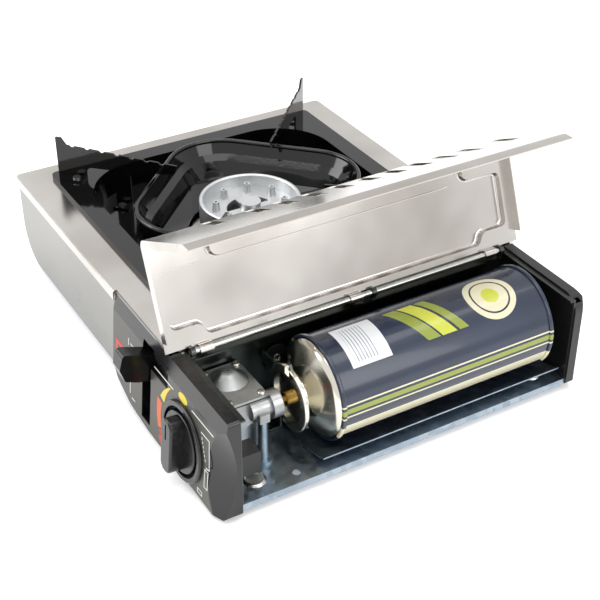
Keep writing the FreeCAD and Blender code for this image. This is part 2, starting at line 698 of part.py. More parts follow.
def solid(name, shape):
    """A sub-part whose shape is lofted or swept from the sizes."""
    item = doc.addObject("Part::Feature", name)
    item.Shape = shape
    return item


def count_of(name):
    """A size that counts copies."""
    return int(round(size(name)))


X_AXIS = Vector(1, 0, 0)
Y_AXIS = Vector(0, 1, 0)
Z_AXIS = Vector(0, 0, 1)

# Base plate: galvanised sheet with a turned right edge, held by four rubber feet.
feet_at = [("-foot_left", "-foot_y"), ("-foot_left", "foot_y"),
           ("foot_right", "-foot_y"), ("foot_right", "foot_y")]
foot_shapes = []
foot_stems = []
for index, (along, across) in enumerate(feet_at, 1):
    foot = turned("foot_%d" % index, [
        ("0", "0"), ("foot_radius", "0"), ("foot_radius", "base_bottom"),
        ("foot_stem", "base_bottom"), ("foot_stem", "base_top"), ("foot_head", "base_top"),
        ("foot_head", "base_top+foot_head_height"), ("0", "base_top+foot_head_height"),
    ], [("foot_round", [1])])
    place(foot, along, "mid_y+" + across if across[0] != "-" else "mid_y" + across)
    foot_shapes.append(foot)
    foot_stems.append(cylinder("foot_bore_%d" % index, "z",
                               (along, "mid_y+(%s)" % across, "0"), "foot_stem", "plate_top/2"))
node(group("feet", *foot_shapes), "rubber_feet")

base_sheet_block = box("base_sheet_block", ("base_left", "base_right"),
                       ("mid_y-base_half", "mid_y+base_half"), ("base_bottom", "base_top"))
base_edge = box("base_edge", ("base_right-base_sheet", "base_right"),
                ("mid_y-panel_depth", "mid_y+panel_depth"), ("base_top-base_lip", "base_top"))
base_front_notch = box("base_front_notch", ("partition_right", "half_width"),
                       ("mid_y-half_depth", "mid_y-panel_depth"), ("0", "plate_top/2"))
base_rear_notch = box("base_rear_notch", ("partition_right", "half_width"),
                      ("mid_y+panel_depth", "mid_y+half_depth"), ("0", "plate_top/2"))
drain = cylinder("drain", "z", ("drain_x", "mid_y-drain_y", "0"), "drain_radius", "plate_top/2")
node(cut("base", fuse("base_blank", base_sheet_block, base_edge), base_front_notch,
         base_rear_notch, drain, *foot_stems), "base_pan")

# Body shell: front, left and rear wall in one bent sheet, open at the right, top and bottom.
shell_outer = pad("shell_outer", "xz", "0-(mid_y+half_depth)", "wall_depth", [
    ("shell_left", "base_bottom"), ("partition_x-sheet", "base_bottom"),
    ("partition_x-sheet", "plate_top-sheet"), ("shell_left", "plate_top-sheet"),
], [("shell_corner", [0])])
shell_inner = pad("shell_inner", "xz", "0-(mid_y+base_half)", "2*base_half", [
    ("shell_left+sheet", "base_bottom+sheet"), ("half_width", "base_bottom+sheet"),
    ("half_width", "plate_top*2"), ("shell_left+sheet", "plate_top*2"),
], [("shell_corner-sheet", [0])])
shell_opening = box("shell_opening", ("base_left", "half_width"),
                    ("mid_y-base_half", "mid_y+base_half"), ("0", "base_top+sheet"))
lever_opening = box("lever_opening", ("slot_left", "slot_left+slot_across"),
                    ("0-half_depth", "0-half_depth/2"), ("base_top", "slot_head"))
node(cut("shell", shell_outer, shell_inner, shell_opening, lever_opening), "body_shell")

# Top plate: lips all round, and a square well under the pan.
plate_left = "0-half_width"
plate_outer = pad("plate_outer", "xy", "plate_top-plate_lip", "plate_lip", [
    (plate_left, "mid_y-lip_reach"), ("partition_x", "mid_y-lip_reach"),
    ("partition_x", "mid_y+lip_reach"), (plate_left, "mid_y+lip_reach"),
], [("plate_corner", [0, 3])])
top_edges = []
for number, edge in enumerate(plate_outer.Shape.Edges, 1):
    heights = [vertex.Point.z for vertex in edge.Vertexes]
    on_right = all(abs(v.Point.x - size("partition_x")) < 1e-4 for v in edge.Vertexes)
    if min(heights) > size("plate_top") - 1e-4 and not on_right:
        top_edges.append("Edge%d" % number)
round_off(plate_outer, plate_outer.Tip, "plate_edge", top_edges, "plate_round")
plate_inner = pad("plate_inner", "xy", "0", "plate_top-sheet", [
    (plate_left + "+sheet", "mid_y-lip_reach+sheet"),
    ("partition_x-sheet", "mid_y-lip_reach+sheet"),
    ("partition_x-sheet", "mid_y+lip_reach-sheet"),
    (plate_left + "+sheet", "mid_y+lip_reach-sheet"),
], [("plate_corner-sheet", [0, 3])])


def well_block(name, low, high, extra):
    """A square block round the pan's middle with the well's corners."""
    side = "well_half" + extra
    return pad(name, "xy", low, span(low, high), [
        ("pan_x-(%s)" % side, "mid_y-(%s)" % side), ("pan_x+%s" % side, "mid_y-(%s)" % side),
        ("pan_x+%s" % side, "mid_y+%s" % side), ("pan_x-(%s)" % side, "mid_y+%s" % side),
    ], [("well_corner" + extra, [0, 1, 2, 3])])


well_outer = well_block("well_outer", "well_floor-sheet", "plate_top-sheet/2", "+sheet")
well_inner = well_block("well_inner", "well_floor", "plate_top*2", "")
well_hole = cylinder("well_hole", "z", ("pan_x", "mid_y", "0"), "burner_hole", "plate_top")
electrode_bore = cylinder("electrode_bore", "z", ("electrode_x", "electrode_y", "0"),
                          "electrode_radius", "plate_top")
plate_notch = box("plate_notch", ("panel_left-joint_gap", "half_width"),
                  ("mid_y-lip_reach-plate_lip", "mid_y-base_half"), ("0", "plate_top*2"))
plate_shell = cut("plate_shell", plate_outer, plate_inner)
node(cut("plate", fuse("plate_blank", plate_shell, well_outer), well_inner, well_hole,
         electrode_bore, plate_notch), "top_plate")

# Partition between burner and gas bay, with a turned foot and openings for shaft, pipe and lead.
partition_sheet_block = box("partition_sheet_block", ("partition_x", "partition_right"),
                            ("mid_y-base_half", "mid_y+base_half"), ("base_top", "partition_top"))
partition_foot = box("partition_foot", ("partition_x-partition_flange", "partition_x"),
                     ("mid_y-base_half", "mid_y+base_half"), ("base_top", "base_top+partition_sheet"))
bush_hole = cylinder("bush_hole", "x", ("0", "pivot_y", "lever_pivot_height"), "bush_radius", "half_width")
pipe_hole = cylinder("pipe_hole", "x", ("0", "feed_y", "tube_height"), "pipe_radius", "half_width")
lead_opening = cylinder("lead_opening", "x", ("0", "mid_y-lead_y", "lead_high"), "lead_hole", "half_width")
vent_window = box("vent_window", ("0", "half_width"), ("mid_y-vent_y-vent_width", "mid_y-vent_y"),
                  ("vent_bottom", "vent_bottom+vent_height"))
node(cut("partition", fuse("partition_blank", partition_sheet_block, partition_foot), bush_hole,
         pipe_hole, lead_opening, vent_window), "partition_wall")

# Hinge rail on the partition, with lugs that hold the rod.
rail_top = "pivot_height-rail_drop"
rail_span = ("mid_y-rail_reach", "mid_y+rail_reach")
rail_flange_sheet = box("rail_flange_sheet", ("partition_right", "partition_right+rail_sheet"),
                        rail_span, (rail_top + "-rail_flange", rail_top))
rail_shelf = box("rail_shelf", ("partition_right", "partition_right+rail_width"), rail_span,
                 (rail_top + "-rail_sheet", rail_top))
rail_parts = [rail_flange_sheet, rail_shelf]
for index, start in enumerate(("0-rail_reach", "lug_length*4", "rail_reach-lug_length"), 1):
    low = "mid_y+(%s)" % start
    rail_parts.append(cylinder("lug_eye_%d" % index, "y", ("pivot_x", low, "pivot_height"),
                               "lug_radius", "lug_length"))
    rail_parts.append(box("lug_foot_%d" % index, ("pivot_x-lug_radius/2", "pivot_x+lug_radius/2"),
                          (low, low + "+lug_length"), (rail_top, "pivot_height")))
rod_bore = cylinder("rod_bore", "y", ("pivot_x", "mid_y-half_depth", "pivot_height"),
                    "rod_radius", "wall_depth")
node(cut("rail", fuse("rail_blank", *rail_parts), rod_bore), "hinge_rail")
node(cylinder("rod", "y", ("pivot_x", "mid_y-rail_reach", "pivot_height"), "rod_radius",
              "2*rail_reach"), "hinge_rod")

# Lid, drawn shut about its hinge axis and turned back to where it rests.
bend_x = "lid_edge+lid_panel"
flap_out = bend_x + "+lid_flap*sin(flap_lean*1deg)"
flap_down = "lid_rise-lid_flap*cos(flap_lean*1deg)"
tuck_in = flap_out + "-flap_tuck*sin(tuck_lean*1deg)"
tuck_down = flap_down + "-flap_tuck*cos(tuck_lean*1deg)"
bend_step = "(1-sin(flap_lean*1deg))/cos(flap_lean*1deg)"
tuck_step = "tan((flap_lean+tuck_lean)*0.5deg)"
lid_sheet_body = pad("lid_sheet_body", "xz", "0-lid_half", "2*lid_half", [
    ("lid_edge", "lid_rise"), (bend_x, "lid_rise"), (flap_out, flap_down), (tuck_in, tuck_down),
    (tuck_in + "-sheet*cos(tuck_lean*1deg)", tuck_down + "+sheet*sin(tuck_lean*1deg)"),
    (flap_out + "-sheet*(cos(flap_lean*1deg)+sin(flap_lean*1deg)*" + tuck_step + ")",
     flap_down + "-sheet*(sin(flap_lean*1deg)-cos(flap_lean*1deg)*" + tuck_step + ")"),
    (bend_x + "-sheet*" + bend_step, "lid_rise-sheet"), ("lid_edge", "lid_rise-sheet"),
], [("lid_bend", [1]), ("tuck_bend", [2]), ("tuck_bend-sheet", [5]), ("lid_bend-sheet", [6])])
flange_out = "flap_flange_end*sin(flap_lean*1deg)"
flange_down = "flap_flange_end*cos(flap_lean*1deg)"
lid_ends = []
for index, start in enumerate(("0-lid_half", "lid_half-sheet"), 1):
    lid_ends.append(pad("lid_end_%d" % index, "xz", start, "sheet", [
        ("lid_edge+lid_flange", "lid_rise"), (bend_x, "lid_rise"),
        (bend_x + "+" + flange_out, "lid_rise-" + flange_down),
        (bend_x + "+" + flange_out + "-flap_flange", "lid_rise-" + flange_down),
        (bend_x + "-flap_flange", "lid_rise-lid_flange"),
        ("lid_edge+lid_flange", "lid_rise-lid_flange"),
    ], [("lid_bend", [1])]))
pillow_low = "pillow_half-pillow_shoulder-pillow_slant"
pillow_high = "pillow_half-pillow_shoulder"
rib_near = "rib_middle-rib_width/2"
rib_far = "rib_middle+rib_width/2"


def pillow_block(name, inset, low, high, edge_round):
    """The raised middle of the lid's top with its stepped ends and two ribs, drawn in by an inset."""
    side = [
        ("pillow_left+" + inset, pillow_low + "-" + inset),
        ("pillow_left+pillow_step+" + inset, pillow_high + "-" + inset),
        ("pillow_left+pillow_step+" + inset, "pillow_half-" + inset),
        ("pillow_right-" + inset, "pillow_half-" + inset),
        ("pillow_right-" + inset, rib_far + "-" + inset),
        ("rib_right-" + inset, rib_far + "-" + inset),
        ("rib_right-" + inset, rib_near + "+" + inset),
        ("pillow_right-" + inset, rib_near + "+" + inset),
    ]
    other = [(across, "0-(%s)" % along) for across, along in reversed(side)]
    block = pad(name, "xy", low, span(low, high), side + other, [
        ("pillow_corner-" + inset, [0, 2, 3, 12, 13, 15]), ("pillow_corner+" + inset, [1, 4, 7, 8, 11, 14]),
        ("rib_corner-" + inset, [5, 6, 9, 10])])
    rim_edges = []
    for index, edge in enumerate(block.Shape.Edges, 1):
        if min(vertex.Point.z for vertex in edge.Vertexes) > value_of(high) - 1e-4:
            rim_edges.append("Edge%d" % index)
    round_off(block, block.Tip, name + "_edge", rim_edges, edge_round)
    return block


pillow_outer = pillow_block("pillow_outer", "0", "lid_rise-sheet", "lid_rise+pillow_rise", "pillow_edge")
pillow_inner = pillow_block("pillow_inner", "sheet", "0-lid_rise", "lid_rise+pillow_rise-sheet",
                            "pillow_edge-sheet")
ear_tubes = []
for index, middle in enumerate(("0-ear_reach", "0", "ear_reach"), 1):
    low = "%s-ear_length/2" % middle
    ear_tubes.append(cylinder("ear_tube_%d" % index, "y", ("0", low, "0"),
                              "rod_radius+hinge_gap+ear_wall", "ear_length"))
    ear_tubes.append(box("ear_strap_%d" % index, ("0", "lid_edge+sheet"),
                         (low, low + "+ear_length"), ("lid_rise-sheet", "lid_rise")))
lid_bore = cylinder("lid_bore", "y", ("0", "0-lid_half", "0"), "rod_radius+hinge_gap", "2*lid_half")
louvres = []
slot_end = "(slot_count-1)/2*slot_pitch+slot_apart"
slot_places = ["0-(%s)" % slot_end, slot_end]
for index in range(count_of("slot_count")):
    slot_places.append("slot_pitch*(%d-(slot_count-1)/2)" % index)
for index, middle in enumerate(slot_places, 1):
    louvres.append(box("louvre_%d" % index, (bend_x + "-lid_bend", bend_x + "+lid_bend"),
                       ("slot_shift+%s-slot_width/2" % middle, "slot_shift+%s+slot_width/2" % middle),
                       ("lid_rise-slot_drop-slot_length", "lid_rise-slot_drop")))
lid_blank = cut("lid_blank", fuse("lid_pressing", lid_sheet_body, pillow_outer, *lid_ends), pillow_inner)
lid_body = cut("lid_body", fuse("lid_with_ears", lid_blank, *ear_tubes), lid_bore, *louvres)
aim(lid_body, Vector(0, -1, 0), "lid_open")
place(lid_body, "pivot_x", "mid_y", "pivot_height")
node(lid_body, "lid")

# Front panel: a moulding whose face leans out towards its foot.
face_low = "mid_y-face_foot"
face_high = "mid_y-face_reach"
panel_side = pad("panel_side", "yz", "panel_left", "half_width-panel_left", [
    (face_low, "panel_bottom"), ("mid_y-panel_depth", "panel_bottom"),
    ("mid_y-panel_depth", "panel_top"), ("mid_y-half_depth", "panel_top"), (face_high, "face_top"),
])
panel_front = pad("panel_front", "xz", "0-(mid_y-panel_depth+panel_wall)",
                  "face_foot-panel_depth+2*panel_wall", [
    ("panel_left", "panel_bottom+panel_sweep_rise"),
    ("panel_left+panel_sweep/8", "panel_bottom+panel_sweep_rise/2"),
    ("panel_left+panel_sweep/2", "panel_bottom+panel_sweep_rise/8"),
    ("panel_left+panel_sweep", "panel_bottom"),
    ("half_width", "panel_bottom"), ("half_width", "panel_top"), ("panel_left", "panel_top"),
], [("panel_sweep_rise/2", [1]), ("panel_sweep/2", [2]), ("panel_round", [4, 5])])
panel_blank = doc.addObject("Part::Common", "panel_blank")
panel_blank.Base = panel_side
panel_blank.Tool = panel_front
seat_outer = turned("seat_outer", [
    ("0", "0-seat_depth-panel_wall"), ("seat_radius", "0-seat_depth-panel_wall"),
    ("seat_radius", "seat_rise"), ("0", "seat_rise"),
], [("seat_rise/2", [2])])


def on_panel(item, x, reach, height):
    """Stand an object on the panel's face, its own Z square to the face."""
    aim(item, X_AXIS, "90-face_slope")
    return place(item, x, "mid_y-(%s)" % reach, height)


on_panel(seat_outer, "knob_x", "knob_reach", "knob_height")
panel_hollow = pad("panel_hollow", "yz", "partition_right+joint_gap+panel_wall",
                   "scoop_x-scoop_radius-partition_right-joint_gap-2*panel_wall", [
    (face_low + "+panel_wall", "panel_bottom+panel_wall"),
    ("mid_y-panel_depth+panel_wall", "panel_bottom+panel_wall"),
    ("mid_y-panel_depth+panel_wall", "panel_top-panel_wall"),
    ("mid_y-half_depth+panel_wall/2", "panel_top-panel_wall"),
    (face_high + "+panel_wall", "face_top"),
])
panel_back_cut = box("panel_back_cut", ("0", "partition_right+joint_gap"),
                     ("mid_y-half_depth", "mid_y"), ("0", "plate_top*2"))
panel_solid = cut("panel_solid", panel_blank, panel_hollow, panel_back_cut)
seat_bore = doc.addObject("Part::Cylinder", "seat_bore_cut")
bind(seat_bore, Radius="seat_bore", Height="seat_depth+2*seat_rise")
spindle_bore = doc.addObject("Part::Cylinder", "spindle_bore_cut")
bind(spindle_bore, Radius="spindle_hole", Height="panel_depth")
normal_in = "cos(face_slope)"
normal_down = "sin(face_slope)"


def knob_line(item, depth):
    """Stand an object on the knob's axis, a depth behind the panel's face."""
    aim(item, X_AXIS, "90-face_slope")
    return place(item, "knob_x", "mid_y-knob_reach+(%s)*%s" % (depth, normal_in),
                 "knob_height-(%s)*%s" % (depth, normal_down))


knob_line(seat_bore, "seat_depth")
knob_line(spindle_bore, "panel_depth/2")
scoop = doc.addObject("Part::Cone", "scoop")
bind(scoop, Radius1="scoop_radius-scoop_slope*scoop_depth",
     Radius2="scoop_radius+scoop_slope*scoop_depth", Height="2*scoop_depth")
on_panel(scoop, "scoop_x", "scoop_reach-scoop_depth*cos(face_slope)",
         "scoop_height-scoop_depth*sin(face_slope)")
panel_slot = box("panel_slot", ("slot_left", "slot_left+slot_across"),
                 ("mid_y-tab_reach", "mid_y"), ("slot_foot", "slot_head"))
recess = pad("recess", "yz", "slot_left", "recess_across", [
    ("mid_y-tab_reach", "slot_head-recess_height"),
    (face_high + "+recess_depth-(slot_head-recess_height-face_top)*tan(face_slope)",
     "slot_head-recess_height"),
    (face_high + "+recess_depth", "face_top"),
    (face_high + "+recess_depth+(slot_head-face_top)*(face_reach-half_depth)/(panel_top-face_top)",
     "slot_head"),
    ("mid_y-tab_reach", "slot_head"),
])
node(cut("panel", fuse("panel_seat", panel_solid, seat_outer), seat_bore, spindle_bore, scoop,
         panel_slot, recess), "front_panel")


def bulkhead(name, y_low, y_high, rim_low, rim_high):
    """A flat wall with a rim along its edges, closing the gas bay."""
    left = "partition_right+joint_gap"
    right = "half_width-bulkhead_inset"
    top = "panel_top-bulkhead_inset"
    wall = box(name + "_wall", (left, right), (y_low, y_high), ("base_top", top))
    rim = box(name + "_rim", (left, right), (rim_low, rim_high),
              (top + "-bulkhead_sheet", top))
    return fuse(name + "_blank", wall, rim)


front_blank = bulkhead("front_bulkhead_part", "mid_y-panel_depth", "mid_y-panel_depth+bulkhead_sheet",
                       "mid_y-panel_depth", "mid_y-panel_depth+bulkhead_depth")
spindle_pass = doc.addObject("Part::Cylinder", "spindle_pass")
bind(spindle_pass, Radius="spindle_hole", Height="panel_depth/2")
knob_line(spindle_pass, "panel_depth/3")
node(cut("front_wall", front_blank, spindle_pass), "front_bulkhead")
rear_blank = bulkhead("rear_bulkhead_part", "mid_y+panel_depth-bulkhead_sheet", "mid_y+panel_depth",
                      "mid_y+panel_depth-bulkhead_depth", "mid_y+panel_depth")
node(rear_blank, "rear_bulkhead")

# Rear end wall of the gas bay: a hollow moulding with a bevelled top and right end.
end_low = "panel_top-end_bevel_drop"
end_out = "mid_y+end_reach"


def end_block(name, left, right, inset, back):
    """The end wall's profile over a length, drawn in by an inset."""
    return pad(name, "yz", left, span(left, right), [
        (back, "end_bottom" + inset), (end_out + inset.replace("+", "-"), "end_bottom" + inset),
        (end_out + inset.replace("+", "-"), end_low),
        (end_out + "-end_bevel_in" + inset.replace("+", "-"), "panel_top" + inset.replace("+", "-")),
        (back, "panel_top" + inset.replace("+", "-")),
    ])


end_outer = end_block("end_outer", "end_left", "half_width", "", "mid_y+panel_depth")
end_inner = end_block("end_inner", "end_left+end_wall", "half_width-end_wall", "+end_wall",
                      "mid_y+panel_depth-end_wall")
end_face = pad("end_face", "xz", "0-(mid_y+end_reach+end_wall)", "end_reach", [
    ("end_left", "end_bottom"), ("half_width", "end_bottom"),
    ("half_width", "panel_top"), ("end_left", "panel_top"),
], [("end_round", [2]), ("panel_round", [1])])
end_body = doc.addObject("Part::Common", "end_body")
end_body.Base = end_outer
end_body.Tool = end_face


def end_corner(name, inset):
    """The wedge that bevels the right end of the end wall."""
    return pad(name, "xy", "0", "plate_top*2", [
        ("half_width-end_chamfer" + inset, "mid_y+end_reach"),
        ("half_width" + inset, "mid_y+end_reach-end_chamfer_in"),
        ("half_width+end_chamfer", "mid_y+end_reach-end_chamfer_in"),
        ("half_width+end_chamfer", "mid_y+end_reach+end_chamfer"),
        ("half_width-end_chamfer" + inset, "mid_y+end_reach+end_chamfer"),
    ])


end_hollow = cut("end_hollow", end_inner, end_corner("end_corner_inner", "-end_wall"))
node(cut("end_moulding", end_body, end_hollow, end_corner("end_corner_outer", "")), "rear_end_wall")

# Tray under the can: a shallow curved sheet with a flat strip along its middle.
tray_half = "(tray_right-tray_left)/2"
tray_rise = "(tray_edge-base_top)"
tray_radius = "((%s)^2+%s^2)/(2*%s)" % (tray_half, tray_rise, tray_rise)
tray_middle = "(tray_left+tray_right)/2"
tray_low = cylinder("tray_low", "y", (tray_middle, "mid_y-tray_front", "base_top+" + tray_radius),
                    tray_radius, "tray_front+tray_back")
tray_high = cylinder("tray_high", "y", (tray_middle, "mid_y-tray_front", "base_top+" + tray_radius),
                     tray_radius + "-tray_sheet", "tray_front+tray_back")
tray_limits = box("tray_limits", ("tray_left", "tray_right"), ("mid_y-tray_front", "mid_y+tray_back"),
                  ("base_top", "tray_edge+tray_sheet"))
tray_strip = box("tray_strip", (tray_middle + "-tray_flat/2", tray_middle + "+tray_flat/2"),
                 ("mid_y-tray_front", "mid_y+tray_back"), ("base_top", "base_top+tray_sheet"))
tray_curve = doc.addObject("Part::Common", "tray_curve")
tray_curve.Base = cut("tray_tube", tray_low, tray_high)
tray_curve.Tool = tray_limits
node(fuse("tray", tray_curve, tray_strip), "cartridge_tray")


def on_can(item, ahead="0"):
    """Put an object on the can's axis, ahead of its front seam."""
    item.Placement = FreeCAD.Placement(Vector(), FreeCAD.Rotation(X_AXIS, 90))
    return place(item, "can_x", "can_y-(%s)" % ahead, "can_height")


# Gas can: body with two rolled seams, dome, dished base, collar ring and valve.
seam = "seam_width/2"
inside = "can_radius-can_sheet"
node(on_can(turned("can_tube", [
    (inside, "0-can_length-" + seam), ("seam_radius", "0-can_length-" + seam),
    ("seam_radius", "0-can_length+" + seam), ("can_radius", "0-can_length+" + seam),
    ("can_radius", "0-" + seam), ("seam_radius", "0-" + seam), ("seam_radius", seam), (inside, seam),
], [("seam_width/3", [1, 2, 5, 6])])), "cartridge_body")
node(on_can(turned("can_dome", [
    (inside + "-can_sheet", "0-" + seam), (inside, "0-" + seam), (inside, "dome_foot"),
    ("collar_hub", "dome_length"), ("collar_hub", "collar_back"),
    ("collar_hub-can_sheet", "collar_back"), ("collar_hub-can_sheet", "dome_length-can_sheet"),
    (inside + "-can_sheet", "dome_foot-can_sheet"),
], [("dome_round", [2]), ("dome_round-can_sheet", [7])])), "cartridge_dome")
node(on_can(turned("can_base", [
    ("0", "base_dish"), ("(" + inside + ")/2", "base_dish"), (inside + "-2*can_sheet", "0-" + seam),
    (inside, "0-" + seam), (inside, "can_sheet-" + seam), (inside + "-can_sheet", "can_sheet-" + seam),
    ("(" + inside + ")/2", "base_dish+can_sheet"), ("0", "base_dish+can_sheet"),
]), "0-can_length"), "cartridge_base")
collar_ring = on_can(turned("collar_ring", [
    ("valve_radius", "collar_back"), ("collar_radius", "collar_back"),
    ("collar_radius", "collar_back+collar_width"),
    ("collar_radius-collar_rim", "collar_back+collar_width"),
    ("collar_radius-collar_rim", "collar_back+collar_sheet"),
    ("valve_radius", "collar_back+collar_sheet"),
], [("collar_width/4", [1, 2])]))
collar_notch = box("collar_notch_cut", ("can_x-collar_notch/2", "can_x+collar_notch/2"),
                   ("collar_face-collar_width", "mid_y"),
                   ("can_height+collar_radius-collar_rim+collar_sheet", "can_height+2*collar_radius"))
node(cut("collar", collar_ring, collar_notch), "cartridge_collar")
valve_front = "collar_back+collar_width+valve_reach"
node(on_can(turned("can_valve", [
    ("0", valve_front + "-valve_length"), ("valve_radius", valve_front + "-valve_length"),
    ("valve_radius", valve_front), ("valve_stem", valve_front),
    ("valve_stem", "collar_back+collar_width+stem_reach"),
    ("0", "collar_back+collar_width+stem_reach"),
])), "cartridge_valve")

# Pressure regulator: cast block, diaphragm, domed cover with four screws, and the can's socket.
block_upper = pad("block_upper", "yz", "regulator_left", "regulator_width", [
    ("regulator_front", "waist_front"), ("regulator_back-neck_length", "regulator_waist"),
    ("regulator_back", "regulator_waist"), ("regulator_back", "block_top"),
    ("regulator_front", "block_top"),
])
block_lower = box("block_lower", ("regulator_left+waist_inset", "regulator_right-waist_right"),
                  ("regulator_front+joint_gap", "regulator_back"), ("regulator_bottom", "regulator_waist"))
neck_at = ("can_x", "regulator_back-neck_length", "can_height")
block_neck = cylinder("block_neck", "y", neck_at, "neck_radius", "neck_length")
prop_y = "regulator_back-neck_length/2"
block_lug = box("block_lug", ("can_x", "can_x+prop_shift+prop_radius"),
                (prop_y + "-prop_radius", prop_y + "+prop_radius"),
                ("can_height-neck_radius", "can_height"))
spindle_seat = doc.addObject("Part::Cylinder", "spindle_seat")
bind(spindle_seat, Radius="spindle_radius+spindle_gap", Height="panel_depth/2")
knob_line(spindle_seat, "spindle_depth")
screw_points = []
for side_x in ("regulator_left+screw_inset", "regulator_right-screw_inset"):
    for side_y in ("regulator_front+screw_inset", "regulator_back-screw_inset"):
        screw_points.append((side_x, side_y))
screws = []
for index, (side_x, side_y) in enumerate(screw_points, 1):
    screw = turned("cover_screw_%d" % index, [
        ("0", "block_top-screw_length"), ("screw_radius", "block_top-screw_length"),
        ("screw_radius", "regulator_top"), ("cover_screw_head", "regulator_top"),
        ("cover_screw_head", "regulator_top+screw_head_height"),
        ("0", "regulator_top+screw_head_height"),
    ])
    screws.append(place(screw, side_x, side_y))
cover_screws = node(group("cover_screws", *screws), "regulator_screws")
node(cut("regulator_block", fuse("block_blank", block_upper, block_lower, block_neck, block_lug),
         spindle_seat, cover_screws), "regulator_body")
diaphragm_blank = box("diaphragm_blank", ("regulator_left", "regulator_right"),
                      ("regulator_front", "regulator_back"), ("block_top", "diaphragm_top"))
node(cut("diaphragm_part", diaphragm_blank, cover_screws), "diaphragm")
cover_flange = box("cover_flange", ("regulator_left", "regulator_right"),
                   ("regulator_front", "regulator_back"), ("diaphragm_top", "regulator_top"))


def cover_bell(name, inset, foot):
    """The bell of the cover, drawn in by an inset, down to its foot."""
    crown = "regulator_top+cover_rise-" + inset
    return place(turned(name, [
        ("0", foot), ("cover_radius-" + inset, foot), ("cover_radius-" + inset, "regulator_top-" + inset),
        ("cover_crown", crown), ("0", crown),
    ], [("crown_round-" + inset, [3])]), "regulator_x-cover_shift", "regulator_mid")


dome = cover_bell("cover_dome", "0", "diaphragm_top")
dome_hollow = cover_bell("cover_hollow", "cover_sheet", "block_top")
vent = cylinder("cover_vent", "z", ("regulator_x-cover_shift", "regulator_mid", "regulator_top"),
                "vent_radius", "2*cover_rise")
node(cut("cover", fuse("cover_blank", cover_flange, dome), dome_hollow, cover_screws, vent),
     "regulator_cover")
spring_at = ("regulator_x-cover_shift", "regulator_mid", "diaphragm_top")
spring_height = "regulator_top+cover_rise-cover_sheet-diaphragm_top"
node(cut("spring", cylinder("spring_outer", "z", spring_at, "spring_radius", spring_height),
         cylinder("spring_inner", "z", spring_at, "spring_radius-spring_wire", spring_height)),
     "regulator_spring")
mouth = "0-socket_length"
seal_front = mouth + "+socket_depth"
seal_back = seal_front + "+seal_sheet"
node(on_can(turned("socket", [
    ("valve_stem", seal_back), ("socket_bore", seal_back), ("socket_bore", mouth),
    ("socket_radius", mouth), ("socket_radius", "0"), ("valve_stem", "0"),
], [("seal_sheet/2", [3])]), "can_y-regulator_back"), "cartridge_socket")
node(on_can(turned("seal", [
    ("seal_hole", seal_front), ("socket_bore", seal_front), ("socket_bore", seal_back),
    ("seal_hole", seal_back),
]), "can_y-regulator_back"), "socket_seal")
prop_top = "can_height-neck_radius"
node(place(turned("prop", [
    ("0", "base_top"), ("prop_flare", "base_top"), ("prop_flare", "base_top+prop_flare_height"),
    ("prop_radius", "base_top+prop_flare_height"), ("prop_radius", prop_top), ("0", prop_top),
]), "can_x+prop_shift", prop_y), "support_post")

# Control knob on the valve spindle.
knob_base = knob_line(turned("knob_skirt_part", [
    ("spindle_radius", "0"), ("knob_radius", "0"), ("knob_radius-knob_draft", "knob_skirt"),
    ("spindle_radius", "knob_skirt"),
], [("knob_draft", [2])]), "seat_depth-knob_gap")
grip = pad("grip", "xy", "0", "knob_skirt+grip_rise", [
    ("0-grip_width/2", "0-grip_length/2"), ("grip_width/2", "0-grip_length/2"),
    ("grip_width/2", "grip_length/2"), ("0-grip_width/2", "grip_length/2"),
], [("grip_width*0.45", [0, 1, 2, 3])])
grip_top = []
for index, edge in enumerate(grip.Shape.Edges, 1):
    if min(vertex.Point.z for vertex in edge.Vertexes) > value_of("knob_skirt+grip_rise") - 1e-4:
        grip_top.append("Edge%d" % index)
round_off(grip, grip.Tip, "grip_top_round", grip_top, "grip_round")
knob_line(grip, "seat_depth-knob_gap")
pointer = pad("pointer", "xy", "knob_skirt+grip_rise-grip_groove/2", "grip_groove", [
    ("0-grip_groove/2", "grip_length/8"), ("grip_groove/2", "grip_length/8"),
    ("grip_groove/2", "grip_length/2-grip_width/4"), ("0-grip_groove/2", "grip_length/2-grip_width/4"),
])
knob_line(pointer, "seat_depth-knob_gap")
spindle = doc.addObject("Part::Cylinder", "spindle")
bind(spindle, Radius="spindle_radius", Height="spindle_depth+spindle_reach-spindle_end")
knob_line(spindle, "spindle_depth-spindle_end")
node(spindle, "valve_spindle")
node(cut("knob", fuse("knob_blank", knob_base, grip), pointer, spindle), "control_knob")

# Piezo igniter, its lead and the spark electrode beside the burner.
bay_front = "mid_y-panel_depth+bulkhead_sheet"
piezo_top = "piezo_bottom+piezo_height"
node(box("piezo", ("piezo_x", "piezo_x+piezo_width"), (bay_front, bay_front + "+piezo_depth"),
         ("piezo_bottom", piezo_top)), "piezo_igniter")
electrode = fuse("electrode",
                 cylinder("electrode_ceramic", "z", ("electrode_x", "electrode_y", "electrode_foot"),
                          "electrode_radius", "electrode_top-electrode_foot"),
                 cylinder("electrode_pin", "z", ("electrode_x", "electrode_y", "electrode_top"),
                          "electrode_wire", "electrode_tip-electrode_top"))
node(electrode, "igniter_electrode")


